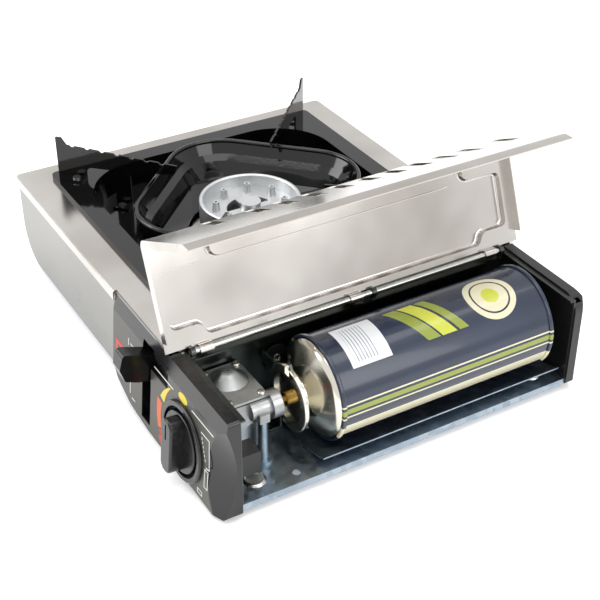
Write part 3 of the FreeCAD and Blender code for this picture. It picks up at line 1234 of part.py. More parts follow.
def tube_along(points, radius):
    """A round tube along straight runs joined by tangent arcs."""
    edges = []
    start = points[0]
    for index in range(1, len(points) - 1):
        corner = points[index]
        into = (corner - points[index - 1]).normalize()
        out = (points[index + 1] - corner).normalize()
        run = min((corner - points[index - 1]).Length, (points[index + 1] - corner).Length)
        back = 0.45 * run
        first = corner - into * back
        last = corner + out * back
        half_turn = into.getAngle(out) / 2
        bend = back / math.tan(half_turn)
        inward = (out - into).normalize()
        middle = corner + inward * (bend / math.cos(half_turn) - bend)
        edges.append(Part.LineSegment(start, first).toShape())
        edges.append(Part.Arc(first, middle, last).toShape())
        start = last
    edges.append(Part.LineSegment(start, points[-1]).toShape())
    path = Part.Wire(edges)
    ring = Part.Wire(Part.makeCircle(radius, points[0], (points[1] - points[0]).normalize()))
    pipe = path.makePipeShell([ring], True, False, 2)
    print("lead length %.1f, volume against section times length %.4f" % (
        path.Length, pipe.Volume / (math.pi * radius ** 2 * path.Length)))
    return pipe


lead_start_x = value_of("piezo_x+piezo_width/2")
lead_front = value_of("mid_y-lead_y")
lead_route = [
    Vector(lead_start_x, lead_front, value_of(piezo_top)),
    Vector(lead_start_x, lead_front, size("lead_high")),
    Vector(size("slot_left"), lead_front, size("lead_high")),
    Vector(value_of("slot_left-lead_step"), lead_front, size("lead_low")),
    Vector(value_of("slot_left-lead_far"), lead_front + size("lead_run"), size("lead_low")),
    Vector(size("electrode_x"), size("electrode_y"), size("lead_low")),
]
node(cut("lead", solid("lead_tube", tube_along(lead_route, size("lead_radius"))), electrode),
     "igniter_lead")

# Gas pipe through the partition, jet nozzle and mixing tube.
pipe_at = ("partition_x", "feed_y", "tube_height")
pipe_length = "regulator_left+waist_inset-partition_x"
node(cut("pipe", cylinder("pipe_outer", "x", pipe_at, "pipe_radius", pipe_length),
         cylinder("pipe_inner", "x", pipe_at, "pipe_radius-pipe_wall", pipe_length)), "gas_pipe")
nozzle_at = ("nozzle_tip", "feed_y", "tube_height")
node(cut("nozzle", cylinder("nozzle_outer", "x", nozzle_at, "nozzle_radius", "nozzle_length"),
         cylinder("nozzle_jet", "x", nozzle_at, "jet_hole", "nozzle_length")), "gas_nozzle")
tube_end = "tube_span-tube_stop"


def along_tube(item):
    """Turn an object about the burner's axis so that its X follows the mixing tube."""
    aim(item, Z_AXIS, "tube_turn")
    return place(item, "pan_x", "mid_y", "tube_height")


tube_start = "chamber_radius-chamber_wall"
tube_outer = fuse("tube_outer",
                  cylinder("tube_pipe", "x", (tube_start, "0", "0"), "tube_radius",
                           tube_end + "-(%s)" % tube_start),
                  cone("tube_bell_outer", "x", (tube_end + "-bell_length", "0", "0"), "tube_radius",
                       "tube_bell", "bell_length"))
tube_inner = fuse("tube_inner",
                  cylinder("tube_bore", "x", (tube_start, "0", "0"), "tube_radius-tube_wall",
                           tube_end + "-(%s)" % tube_start),
                  cone("tube_bell_inner", "x", (tube_end + "-bell_length", "0", "0"),
                       "tube_radius-tube_wall", "tube_bell-tube_wall", "bell_length"))
node(along_tube(cut("mixing", tube_outer, tube_inner)), "mixing_tube")
tube_socket = along_tube(group("tube_socket", cylinder("tube_socket_bore", "x", ("0", "0", "0"),
                                                       "tube_radius", "chamber_radius")))

# Burner: body with its mounting plate, and the head with ports, spokes and posts.
node(box("bracket", ("pan_x-bracket_reach", "pan_x+bracket_reach"),
         ("mid_y-bracket_width/2", "mid_y+bracket_width/2"), ("base_top", "chamber_bottom")),
     "burner_bracket")
chamber = place(turned("chamber", [
    ("0", "chamber_bottom"), ("chamber_radius", "chamber_bottom"), ("chamber_radius", "floor_under"),
    ("chamber_radius-chamber_wall", "floor_under"),
    ("chamber_radius-chamber_wall", "chamber_bottom+chamber_wall"), ("0", "chamber_bottom+chamber_wall"),
], [("chamber_wall", [1])]), "pan_x", "mid_y")
node(cut("burner_chamber", chamber, tube_socket), "burner_body")
head_ring = place(turned("head_ring", [
    ("burner_bore", "floor_under"), ("burner_inner", "floor_under"), ("burner_inner", "burner_bottom"),
    ("burner_radius", "burner_bottom"), ("burner_radius", "burner_top"), ("burner_inner", "burner_top"),
    ("burner_inner", "dish_floor"), ("burner_bore", "dish_floor"),
], [("burner_wall*0.45", [4, 5])]), "pan_x", "mid_y")
head_parts = [head_ring, cylinder("head_boss", "z", ("pan_x", "mid_y", "floor_under"), "burner_boss",
                                  "burner_dish")]
for index in range(2):
    spoke = ("burner_bore+spoke_width/2", "spoke_width/2")
    across, deep = spoke if index == 0 else spoke[::-1]
    head_parts.append(box("spoke_%d" % (index + 1), ("pan_x-(%s)" % across, "pan_x+" + across),
                          ("mid_y-(%s)" % deep, "mid_y+" + deep), ("floor_under", "dish_floor")))
head_cuts = []
for index in range(count_of("post_count")):
    bearing = "%d*360/post_count+360/post_count/2" % index
    post_at = ("pan_x+post_ring*cos((%s)*1deg)" % bearing, "mid_y+post_ring*sin((%s)*1deg)" % bearing)
    head_parts.append(cone("post_%d" % (index + 1), "z", post_at + ("dish_floor",), "post_radius",
                           "post_tip", "post_height"))
    head_cuts.append(cylinder("post_hole_%d" % (index + 1), "z", post_at + ("dish_floor",), "post_hole",
                              "post_height"))
for index in range(count_of("port_count")):
    port = box("port_block_%d" % (index + 1), ("burner_inner-burner_wall", "burner_radius+burner_wall"),
               ("0-port_width/2", "port_width/2"), ("burner_bottom", "burner_bottom+port_height"))
    port_turned = group("port_%d" % (index + 1), port)
    aim(port_turned, Z_AXIS, "%d*360/port_count" % index)
    head_cuts.append(place(port_turned, "pan_x", "mid_y"))
node(cut("head", fuse("head_blank", *head_parts), *head_cuts), "burner_head")

# Lever: plate on its shaft, thumb tab, cam plate and screw.
lever_plate = pad("lever_plate", "yz", "lever_x", "lever_sheet", [
    ("pivot_y+lever_eye", "lever_pivot_height-lever_eye"),
    ("pivot_y+lever_eye", "lever_pivot_height+lever_eye"),
    ("mid_y-tab_root-tab_grip", "lever_root+lever_width/2"),
    ("mid_y-tab_root-tab_grip", "lever_root-lever_width/2"),
], [("lever_eye*0.9", [0, 1])])
shaft_at = ("lever_x-lever_sheet", "pivot_y", "lever_pivot_height")
shaft_length = "cam_x+cam_sheet-lever_x+lever_sheet"
shaft = node(cylinder("shaft", "x", shaft_at, "shaft_radius", shaft_length), "lever_shaft")
lever = node(cut("lever", lever_plate, shaft), "lock_lever")
tab = pad("tab", "yz", "lever_x+lever_sheet/2-tab_width/2", "tab_width", [
    ("mid_y-tab_root", "tab_foot_root"), ("mid_y-tab_root", "tab_top_root"),
    ("mid_y-tab_reach+tab_nose", "tab_top"), ("mid_y-tab_reach", "tab_tip"),
    ("mid_y-tab_reach+tab_nose", "tab_foot"),
    ("mid_y-(tab_root+tab_reach)/2", "(tab_foot+tab_foot_root)/2-tab_nose/3"),
], [("tab_round", [2, 3, 4])])
node(cut("tab_part", tab, lever), "lever_knob")
bush_at = ("partition_x", "pivot_y", "lever_pivot_height")
node(cut("bush", cylinder("bush_outer", "x", bush_at, "bush_radius", "bush_length"),
         cylinder("bush_inner", "x", bush_at, "bush_bore", "bush_length")), "lever_bush")
cam = pad("cam", "yz", "cam_x", "cam_sheet", [
    ("pivot_y-cam_width/2", "lever_pivot_height-cam_drop"),
    ("pivot_y+cam_width/2", "lever_pivot_height-cam_drop"),
    ("pivot_y+cam_width/2", "lever_pivot_height+cam_rise"),
    ("pivot_y-cam_width/2", "lever_pivot_height+cam_rise"),
], [("cam_round", [0, 1, 2, 3])])
node(cut("cam_part", cam, shaft), "cam_plate")
node(cylinder("pivot_screw", "x", ("cam_x+cam_sheet", "pivot_y", "lever_pivot_height"), "screw_head",
              "pivot_head"), "lever_pivot_screw")

# Fork that carries the can: it holds the hub behind the collar ring and slides on the base.
fork_half = "collar_hub+saddle_gap+fork_arm"
fork_front = "slide_back-slide_sheet"
fork_blank = pad("fork_blank_part", "xz", "0-slide_sheet", "slide_sheet", [
    ("0-fork_tail", "0-(%s)" % fork_half), ("fork_tip", "0-(%s)" % fork_half),
    ("fork_tip", fork_half), ("0-fork_tail", fork_half),
], [("fork_arm", [0, 3])])
fork_mouth = pad("fork_mouth", "xz", "0-2*slide_sheet", "4*slide_sheet", [
    ("0", "0-collar_hub-saddle_gap"), ("fork_tip+fork_tail", "0-collar_hub-saddle_gap"),
    ("fork_tip+fork_tail", "collar_hub+saddle_gap"), ("0", "collar_hub+saddle_gap"),
])
fork_saddle = cylinder("fork_saddle", "y", ("0", "0-2*slide_sheet", "0"), "collar_hub+saddle_gap",
                       "4*slide_sheet")
fork_plate = cut("fork_plate", fork_blank, fork_mouth, fork_saddle)
aim(fork_plate, Vector(0, -1, 0), "lift_slope")
place(fork_plate, "can_x", fork_front, "can_height")
slide_y = (fork_front, "slide_back")
fork_horn = box("fork_horn", ("horn_left", "horn_left+horn_length"), slide_y,
                ("horn_bottom", "horn_bottom+horn_height"))
fork_leg = box("fork_leg", ("slide_leg", "slide_leg+leg_width"), slide_y,
               ("base_top+joint_gap", "can_height-collar_hub"))
fork_foot = box("fork_foot", ("slide_leg", "slide_leg+leg_width"), ("slide_back-slide_foot", "slide_back"),
                ("base_top+joint_gap", "base_top+joint_gap+slide_sheet"))
slot_middle = "slide_leg+leg_width/2"
guide_y = "slide_back-slide_foot+slide_sheet+screw_radius+joint_gap"
foot_slot = box("foot_slot_cut", (slot_middle + "-foot_slot/2", slot_middle + "+foot_slot/2"),
                ("slide_back-slide_foot+slide_sheet",
                 guide_y + "+screw_radius+slide_travel+joint_gap"),
                ("0", "base_top+joint_gap+2*slide_sheet"))
node(cut("fork", fuse("fork_whole", fork_plate, fork_horn, fork_leg, fork_foot), foot_slot),
     "collar_fork")
guide_top = "base_top+slide_sheet+3*joint_gap"
node(place(turned("guide_screw", [
    ("0", "base_top"), ("screw_radius", "base_top"), ("screw_radius", guide_top),
    ("screw_head", guide_top), ("screw_head", guide_top + "+screw_head_height"),
    ("0", guide_top + "+screw_head_height"),
]), slot_middle, guide_y), "slide_screw")


def rounded(half, corner, height, turn=0):
    """A square with round corners about the burner's axis, at a height."""
    flat = half - corner
    bow = corner * math.sqrt(0.5)
    edges = []
    for quarter in range(4):
        rotation = FreeCAD.Rotation(Z_AXIS, 90 * quarter + turn)
        low = Vector(half, -flat, 0)
        high = Vector(half, flat, 0)
        middle = Vector(flat + bow, flat + bow, 0)
        end = Vector(flat, half, 0)
        spin = [rotation.multVec(point) + centre + Vector(0, 0, height)
                for point in (low, high, middle, end)]
        edges.append(Part.LineSegment(spin[0], spin[1]).toShape())
        edges.append(Part.Arc(spin[1], spin[2], spin[3]).toShape())
    return Part.Wire(edges)


def loft(*sections):
    """A solid whose flat sides run straight from one rounded square to the next."""
    return Part.makeLoft([rounded(*section) for section in sections], True, True)


# Enamelled pan: square rim, rounded trough and a windbreak standing round the burner.
centre = Vector(size("pan_x"), size("mid_y"), 0)
wall = size("pan_sheet")
rim = size("rim_top")
basin = size("basin_half")
basin_round = size("basin_corner")
basin_low = size("basin_floor")
lean = size("basin_lean")
side = size("windbreak_side")
point = size("windbreak_corner")
top = size("windbreak_top")
bead = size("windbreak_bead")
shrink = size("windbreak_lean")
pan_round = size("pan_corner")
pan_outside = size("pan_half")
throat = size("throat_radius")
funnel = [
    (side, point, top),
    (side - size("ledge_in"), point - size("ledge_in"), top - size("ledge_drop")),
    (side - size("step_in"), point - size("step_in"), top - size("step_drop")),
    (side - size("bowl_in"), point - size("bowl_in"), top - size("bowl_drop")),
]
throat_height = top - size("throat_drop")
turn = 45


def grown(sections, extra, drop):
    """Funnel sections moved out and down by a wall."""
    return [(half + extra, corner + extra, height - drop, turn) for half, corner, height in sections]


def funnel_solid(extra, drop):
    """The funnel's inside, down to its round throat."""
    sections = grown(funnel, extra, drop)
    bottom = (throat + extra, (throat + extra) * 0.999, throat_height - drop, turn)
    return loft(*(sections + [bottom]))


rim_slab = loft((pan_outside, pan_round, rim - wall), (pan_outside, pan_round, rim))
rim_skirt = loft((pan_outside, pan_round, size("plate_top")), (pan_outside, pan_round, rim)).cut(
    loft((pan_outside - wall, pan_round - wall, 0), (pan_outside - wall, pan_round - wall, rim)))
basin_shell = loft((basin - lean + wall, basin_round - lean + wall, basin_low - wall),
                   (basin + wall, basin_round + wall, rim))
basin_void = loft((basin - lean, basin_round - lean, basin_low), (basin, basin_round, rim + wall))
windbreak_outer = loft((side + wall + shrink, point + wall + shrink, basin_low - wall, turn),
                       (side + wall, point + wall, top, turn))
funnel_skin = funnel_solid(wall, wall)
funnel_void = funnel_solid(0, 0)
funnel_mouth = loft((side, point, top, turn), (side, point, top + wall, turn))
behind_top = top - size("ledge_drop")
behind = loft((side + shrink, point + shrink, 0, turn), (side + shrink / 3, point + shrink / 3,
                                                         behind_top, turn))
behind = behind.cut(funnel_skin)
pan_shape = rim_slab.fuse([rim_skirt, basin_shell, windbreak_outer, funnel_skin])
pan_shape = pan_shape.cut(basin_void.cut(windbreak_outer))
pan_shape = pan_shape.cut(behind.cut(funnel_skin))
throat_hole = Part.makeCylinder(throat, rim, centre)
pan_shape = pan_shape.cut([funnel_void, funnel_mouth, throat_hole])
rolled_path = rounded(side + wall / 2, point + wall / 2, top, turn)
first = rolled_path.Edges[0]
rolled_start = first.Vertexes[0].Point
rolled_ring = Part.Wire(Part.makeCircle(bead, rolled_start, first.tangentAt(first.FirstParameter)))
rolled_edge = rolled_path.makePipeShell([rolled_ring], True, False)
pan_shape = pan_shape.fuse(rolled_edge).removeSplitter()
rivet_places = []
for quarter in range(4):
    for reach, height in (("rivet_outer", "rim_top"), ("rivet_inner", "basin_floor")):
        rivet_places.append((quarter, reach, height))
arm_rivets = []
for index, (quarter, reach, height) in enumerate(rivet_places, 1):
    bearing = "(%d*90+45)*1deg" % quarter
    away = reach + "*cos(%s)-(arm_foot/2+arm_sheet/2)*sin(%s)" % (bearing, bearing)
    aside = reach + "*sin(%s)+(arm_foot/2+arm_sheet/2)*cos(%s)" % (bearing, bearing)
    rivet = turned("rivet_%d" % index, [
        ("0", "0-pan_sheet"), ("rivet_radius", "0-pan_sheet"), ("rivet_radius", "arm_sheet"),
        ("rivet_head", "arm_sheet"), ("rivet_head", "arm_sheet+rivet_height"),
        ("0", "arm_sheet+rivet_height"),
    ])
    arm_rivets.append(place(rivet, "pan_x+" + away, "mid_y+" + aside, height))
rivets = node(group("rivets", *arm_rivets), "arm_rivets")
node(cut("pan", solid("pan_shell", pan_shape), rivets), "pan_support")

# Pot arms on the pan's diagonals, each bent from one plate with two feet.
leg_in = "arm_reach-arm_leg-arm_horn_width"
mid_leg_out = leg_in + "-arm_arch"
mid_leg_in = mid_leg_out + "-arm_mid_leg"
bar_in = "windbreak_side+windbreak_bead*3"
for quarter in range(4):
    plate = pad("arm_plate_%d" % (quarter + 1), "xz", "0-arm_sheet/2", "arm_sheet", [
        ("arm_reach", "rim_top"), ("arm_reach", "arm_top+arm_horn"),
        ("arm_reach-arm_horn_width+arm_horn/3", "arm_top+arm_horn"),
        ("arm_reach-arm_horn_width-arm_horn/3", "arm_top"),
        ("arm_inner", "arm_top-arm_drop"), ("arm_inner+arm_horn/2", "arm_top-arm_drop-arm_depth*0.8"),
        (bar_in, "windbreak_top+windbreak_bead*2"), (mid_leg_in, "windbreak_top"),
        (mid_leg_in, "basin_floor"), (mid_leg_out, "basin_floor"), (mid_leg_out, "arm_arch_top"),
        (leg_in, "arm_arch_top"), (leg_in, "rim_top"),
    ], [("arm_round", [10, 11])])
    outer_foot = box("outer_foot_%d" % (quarter + 1), (leg_in, "arm_reach-arm_horn_width"),
                     ("0", "arm_foot"), ("rim_top", "rim_top+arm_sheet"))
    inner_foot = box("inner_foot_%d" % (quarter + 1), (mid_leg_in, mid_leg_out), ("0", "arm_foot"),
                     ("basin_floor", "basin_floor+arm_sheet"))
    notches = []
    for index in range(count_of("arm_notches")):
        share = "%d/arm_notches" % (index + 1)
        run = "(arm_reach-2*arm_horn_width-arm_inner)*(%s)" % share
        notches.append(cylinder("notch_%d_%d" % (quarter + 1, index + 1), "y",
                                ("arm_inner+" + run, "0-arm_sheet",
                                 "arm_top-arm_drop*(1-(%s))+arm_notch_radius/3" % share),
                                "arm_notch_radius", "2*arm_sheet"))
    arm_blank = cut("arm_blank_%d" % (quarter + 1), fuse("arm_bent_%d" % (quarter + 1), plate,
                                                         outer_foot, inner_foot), *notches)
    aim(arm_blank, Z_AXIS, "%d*90+45" % quarter)
    place(arm_blank, "pan_x", "mid_y")
    node(cut("arm_%d" % (quarter + 1), arm_blank, rivets), "pot_arm_%d" % (quarter + 1))

# Every object is checked before any file is written.
doc.recompute()
for item in doc.Objects:
    faults = [state for state in item.State if state in ("Invalid", "Error")]
    assert not faults, (item.Name, item.State)
for item in nodes:
    assert not item.Shape.isNull() and item.Shape.isValid(), item.Label
    assert item.Shape.Solids, item.Label
os.makedirs("parts", exist_ok=True)
for item in nodes:
    item.Shape.exportStep("parts/%s.step" % item.Label)
print("%d sub-parts" % len(nodes))
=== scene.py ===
"""Looks of a portable stove that burns a butane can lying in its side bay.

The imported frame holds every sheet, casting and moulding in its place. This script gives each of
them the surface of its real material, adds the screws, prints, studs and pressed details that are
finer than the frame, and sets up floor, lights and camera. All lengths in the classes are
millimetres; Blender's own unit is the metre.
"""

from __future__ import annotations

import logging
import math
from dataclasses import dataclass
from enum import Enum
from typing import Callable, Iterable, Optional, Sequence

import bpy
from mathutils import Matrix, Vector

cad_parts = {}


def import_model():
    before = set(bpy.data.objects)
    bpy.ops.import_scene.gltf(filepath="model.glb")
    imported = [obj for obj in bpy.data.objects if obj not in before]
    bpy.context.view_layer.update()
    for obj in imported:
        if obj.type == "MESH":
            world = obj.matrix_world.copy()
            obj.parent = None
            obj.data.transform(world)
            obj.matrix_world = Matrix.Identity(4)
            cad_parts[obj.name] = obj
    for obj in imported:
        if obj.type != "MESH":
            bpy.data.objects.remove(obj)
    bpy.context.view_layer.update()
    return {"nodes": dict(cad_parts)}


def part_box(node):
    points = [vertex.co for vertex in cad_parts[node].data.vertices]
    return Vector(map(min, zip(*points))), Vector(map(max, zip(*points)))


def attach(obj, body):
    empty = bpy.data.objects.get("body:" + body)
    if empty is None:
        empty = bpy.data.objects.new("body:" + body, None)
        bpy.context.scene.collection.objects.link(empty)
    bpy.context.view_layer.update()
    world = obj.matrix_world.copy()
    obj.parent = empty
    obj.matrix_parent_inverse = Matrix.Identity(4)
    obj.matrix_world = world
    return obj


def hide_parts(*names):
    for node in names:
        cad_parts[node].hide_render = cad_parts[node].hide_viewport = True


LOG = logging.getLogger("stove")
DASHES = 6
SMOOTH_ANGLE = math.radians(32.0)
COAT_ROUGHNESS = 0.06
SENSOR_WIDTH = 36.0
WHITE = (1.0, 1.0, 1.0, 1.0)
Point = tuple[float, float]


class Body(Enum):
    """The moving bodies of the stove."""

    STOVE = "stove"
    LID = "lid"
    KNOB = "knob"
    LEVER = "lever"
    SLIDE = "slide"
    CARTRIDGE = "cartridge"
    PAN = "pan"


class Slot(Enum):
    """The material slots of the record."""

    GALVANISED = "galvanised"
    RUBBER = "rubber"
    CASE_STEEL = "case_steel"
    PLATED_STEEL = "plated_steel"
    BLACK_PLASTIC = "black_plastic"
    CAST_ALUMINIUM = "cast_aluminium"
    BRASS = "brass"
    DARK_STEEL = "dark_steel"
    CAN_PAINT = "can_paint"
    ENAMEL = "enamel"


def metres(*values: float) -> Vector:
    """Turn millimetres into a vector in metres."""
    return Vector(values) / 1000.0


def per_metre(size: float) -> float:
    """Scale of a pattern whose features are this many millimetres across."""
    return 1000.0 / size


def linear(colour: str) -> tuple[float, float, float, float]:
    """Turn an sRGB hex colour into linear light.

    Args:
        colour: "#rrggbb".

    Returns:
        Red, green, blue and a full alpha.
    """
    shares = [int(colour[at:at + 2], 16) / 255.0 for at in (1, 3, 5)]
    light = [s / 12.92 if s <= 0.04045 else ((s + 0.055) / 1.055) ** 2.4 for s in shares]
    return (light[0], light[1], light[2], 1.0)


def add_node(tree: bpy.types.NodeTree, kind: str, settings: Optional[dict] = None,
             inputs: Optional[dict] = None) -> bpy.types.Node:
    """Add a shader node with its settings, links and constants.

    Args:
        tree: Node tree of the material.
        kind: Blender's name of the node type.
        settings: Properties of the node by name.
        inputs: Sockets by name or number, each with a constant or an output to link.

    Returns:
        The new node.
    """
    node = tree.nodes.new(kind)
    for key, value in (settings or {}).items():
        setattr(node, key, value)
    for key, value in (inputs or {}).items():
        if isinstance(value, bpy.types.NodeSocket):
            tree.links.new(value, node.inputs[key])
        else:
            node.inputs[key].default_value = value
    return node


@dataclass(frozen=True)
class Finish:
    """A surface: what it is made of, and how it was made."""

    name: str
    colour: str
    roughness: float
    metallic: float = 0.0
    ior: float = 1.5
    coat: float = 0.0

    def material(self) -> bpy.types.Material:
        """Return the finish's material, made once."""
        found = bpy.data.materials.get(self.name)
        if found is not None:
            return found
        made = bpy.data.materials.new(self.name)
        made.use_nodes = True
        tree = made.node_tree
        shader = tree.nodes["Principled BSDF"]
        shader.inputs["Base Color"].default_value = linear(self.colour)
        shader.inputs["Roughness"].default_value = self.roughness
        shader.inputs["Metallic"].default_value = self.metallic
        if self.metallic == 0.0:
            shader.inputs["IOR"].default_value = self.ior
        if self.coat > 0.0:
            shader.inputs["Coat Weight"].default_value = self.coat
            shader.inputs["Coat Roughness"].default_value = COAT_ROUGHNESS
        self.pattern(tree, shader)
        return made

    def pattern(self, tree: bpy.types.NodeTree, shader: bpy.types.Node) -> None:
        """Add what the plain shader lacks; a subclass draws it."""

    def relief(self, tree: bpy.types.NodeTree, shader: bpy.types.Node,
               height: bpy.types.NodeSocket, depth: float, strength: float = 1.0) -> None:
        """Raise the surface by a pattern that is this many millimetres deep."""
        bump = add_node(tree, "ShaderNodeBump", inputs={
            "Height": height, "Distance": depth / 1000.0, "Strength": strength})
        tree.links.new(bump.outputs["Normal"], shader.inputs["Normal"])

    def mottle(self, tree: bpy.types.NodeTree, shader: bpy.types.Node, size: float,
               other: str, spread: float) -> bpy.types.Node:
        """Let colour and roughness wander over patches of a size in millimetres.

        Args:
            tree: Node tree of the material.
            shader: Its surface shader.
            size: Width of a patch.
            other: Colour at the far end of the wander.
            spread: How far the roughness moves to either side.

        Returns:
            The node that holds the object coordinates.
        """
        place = add_node(tree, "ShaderNodeTexCoord")
        patches = add_node(tree, "ShaderNodeTexNoise", inputs={
            "Vector": place.outputs["Object"], "Scale": per_metre(size), "Detail": 3.0})
        tint = add_node(tree, "ShaderNodeMix", {"data_type": "RGBA"}, {
            0: patches.outputs["Fac"], 6: linear(self.colour), 7: linear(other)})
        dull = add_node(tree, "ShaderNodeMapRange", inputs={
            "Value": patches.outputs["Fac"], "From Min": 0.3, "From Max": 0.7,
            "To Min": max(self.roughness - spread, 0.02), "To Max": self.roughness + spread})
        tree.links.new(tint.outputs[2], shader.inputs["Base Color"])
        tree.links.new(dull.outputs["Result"], shader.inputs["Roughness"])
        return place


@dataclass(frozen=True)
class RolledSteel(Finish):
    """Cold-rolled steel sheet: fine lines along the rolling, and soft patches of colour: handling
    marks on most sheets, painted reflections on the bright stainless.
    """

    other: str = "#d8d5d0"
    line: float = 0.5
    stretch: tuple[float, float, float] = (1.0, 0.012, 1.0)
    depth: float = 0.003
    spread: float = 0.04
    patch: float = 80.0

    def pattern(self, tree: bpy.types.NodeTree, shader: bpy.types.Node) -> None:
        """Rolling lines are 0.05 mm apart in life and drawn at half a millimetre, to show."""
        # On the bright stainless the patches between its dark brown and near-white colours are
        # painted reflections.
        place = self.mottle(tree, shader, self.patch, self.other, self.spread)
        drawn = add_node(tree, "ShaderNodeMapping", inputs={
            "Vector": place.outputs["Object"], "Scale": self.stretch})
        lines = add_node(tree, "ShaderNodeTexNoise", inputs={
            "Vector": drawn.outputs["Vector"], "Scale": per_metre(self.line), "Detail": 2.0})
        self.relief(tree, shader, lines.outputs["Fac"], self.depth, 0.5)


@dataclass(frozen=True)
class ZincCoated(Finish):
    """Hot-dipped galvanised sheet: frozen zinc crystals some millimetres wide."""

    other: str = "#a9b0b3"
    crystal: float = 5.0

    def pattern(self, tree: bpy.types.NodeTree, shader: bpy.types.Node) -> None:
        """Each crystal has its own shade and its own dullness."""
        place = add_node(tree, "ShaderNodeTexCoord")
        crystals = add_node(tree, "ShaderNodeTexVoronoi", inputs={
            "Vector": place.outputs["Object"], "Scale": per_metre(self.crystal)})
        shade = add_node(tree, "ShaderNodeSeparateColor", inputs={
            "Color": crystals.outputs["Color"]})
        tint = add_node(tree, "ShaderNodeMix", {"data_type": "RGBA"}, {
            0: shade.outputs["Red"], 6: linear(self.colour), 7: linear(self.other)})
        dull = add_node(tree, "ShaderNodeMapRange", inputs={
            "Value": shade.outputs["Green"], "To Min": self.roughness - 0.06,
            "To Max": self.roughness + 0.08})
        tree.links.new(tint.outputs[2], shader.inputs["Base Color"])
        tree.links.new(dull.outputs["Result"], shader.inputs["Roughness"])
        self.relief(tree, shader, shade.outputs["Blue"], 0.01, 0.4)


@dataclass(frozen=True)
class FusedEnamel(Finish):
    """Vitreous enamel fused on steel: wet black gloss with a faint orange peel."""

    def pattern(self, tree: bpy.types.NodeTree, shader: bpy.types.Node) -> None:
        """The melt leaves waves about three millimetres long."""
        place = self.mottle(tree, shader, 40.0, "#0a0a0b", 0.03)
        waves = add_node(tree, "ShaderNodeTexNoise", inputs={
            "Vector": place.outputs["Object"], "Scale": per_metre(3.0), "Detail": 1.0})
        self.relief(tree, shader, waves.outputs["Fac"], 0.03, 0.5)


@dataclass(frozen=True)
class Casting(Finish):
    """Die-cast metal: a frosted skin with tiny pits and flow marks."""

    other: str = "#b9bcbe"
    grain: float = 0.5
    depth: float = 0.05

    def pattern(self, tree: bpy.types.NodeTree, shader: bpy.types.Node) -> None:
        """Grain of the mould's dressing, drawn at half a millimetre."""
        place = self.mottle(tree, shader, 9.0, self.other, 0.06)
        skin = add_node(tree, "ShaderNodeTexNoise", inputs={
            "Vector": place.outputs["Object"], "Scale": per_metre(self.grain), "Detail": 3.0})
        self.relief(tree, shader, skin.outputs["Fac"], self.depth, 0.5)


@dataclass(frozen=True)
class Moulded(Finish):
    """Moulded plastic, rubber or glaze: one colour with the mould's fine grain."""

    other: str = "#26262a"
    grain: float = 0.4
    depth: float = 0.015

    def pattern(self, tree: bpy.types.NodeTree, shader: bpy.types.Node) -> None:
        """Spark-eroded moulds leave a grain of some tenths of a millimetre."""
        place = self.mottle(tree, shader, 25.0, self.other, 0.05)
        skin = add_node(tree, "ShaderNodeTexNoise", inputs={
            "Vector": place.outputs["Object"], "Scale": per_metre(self.grain), "Detail": 2.0})
        self.relief(tree, shader, skin.outputs["Fac"], self.depth, 0.6)


@dataclass(frozen=True)
class PanelFace(Moulded):
    """Black moulded panel whose leaning face is painted charcoal; bevels and scoop stay black."""

    paint: str = "#45443f"
    paint_roughness: float = 0.42
    face_top: float = 62.0
    face_reach: float = -121.7
    slope: float = 0.09153
    tolerance: float = 0.35

    def pattern(self, tree: bpy.types.NodeTree, shader: bpy.types.Node) -> None:
        """Paint lies where a point is on the leaning plane, below the top bevel."""
        place = add_node(tree, "ShaderNodeTexCoord")
        parts = add_node(tree, "ShaderNodeSeparateXYZ", inputs={0: place.outputs["Object"]})
        foot = (self.face_reach - self.face_top * self.slope) / 1000.0
        plane = add_node(tree, "ShaderNodeMath", {"operation": "MULTIPLY_ADD"}, {
            0: parts.outputs["Z"], 1: self.slope, 2: foot})
        away = add_node(tree, "ShaderNodeMath", {"operation": "SUBTRACT"}, {
            0: parts.outputs["Y"], 1: plane.outputs[0]})
        distance = add_node(tree, "ShaderNodeMath", {"operation": "ABSOLUTE"}, {
            0: away.outputs[0]})
        flat = add_node(tree, "ShaderNodeMath", {"operation": "LESS_THAN"}, {
            0: distance.outputs[0], 1: self.tolerance / 1000.0})
        below = add_node(tree, "ShaderNodeMath", {"operation": "LESS_THAN"}, {
            0: parts.outputs["Z"], 1: (self.face_top - 0.6) / 1000.0})
        mask = add_node(tree, "ShaderNodeMath", {"operation": "MULTIPLY"}, {
            0: flat.outputs[0], 1: below.outputs[0]})
        tint = add_node(tree, "ShaderNodeMix", {"data_type": "RGBA"}, {
            0: mask.outputs[0], 6: linear(self.colour), 7: linear(self.paint)})
        dull = add_node(tree, "ShaderNodeMapRange", inputs={
            "Value": mask.outputs[0], "To Min": self.roughness, "To Max": self.paint_roughness})
        skin = add_node(tree, "ShaderNodeTexNoise", inputs={
            "Vector": place.outputs["Object"], "Scale": per_metre(self.grain), "Detail": 2.0})
        tree.links.new(tint.outputs[2], shader.inputs["Base Color"])
        tree.links.new(dull.outputs["Result"], shader.inputs["Roughness"])
        self.relief(tree, shader, skin.outputs["Fac"], self.depth, 0.6)


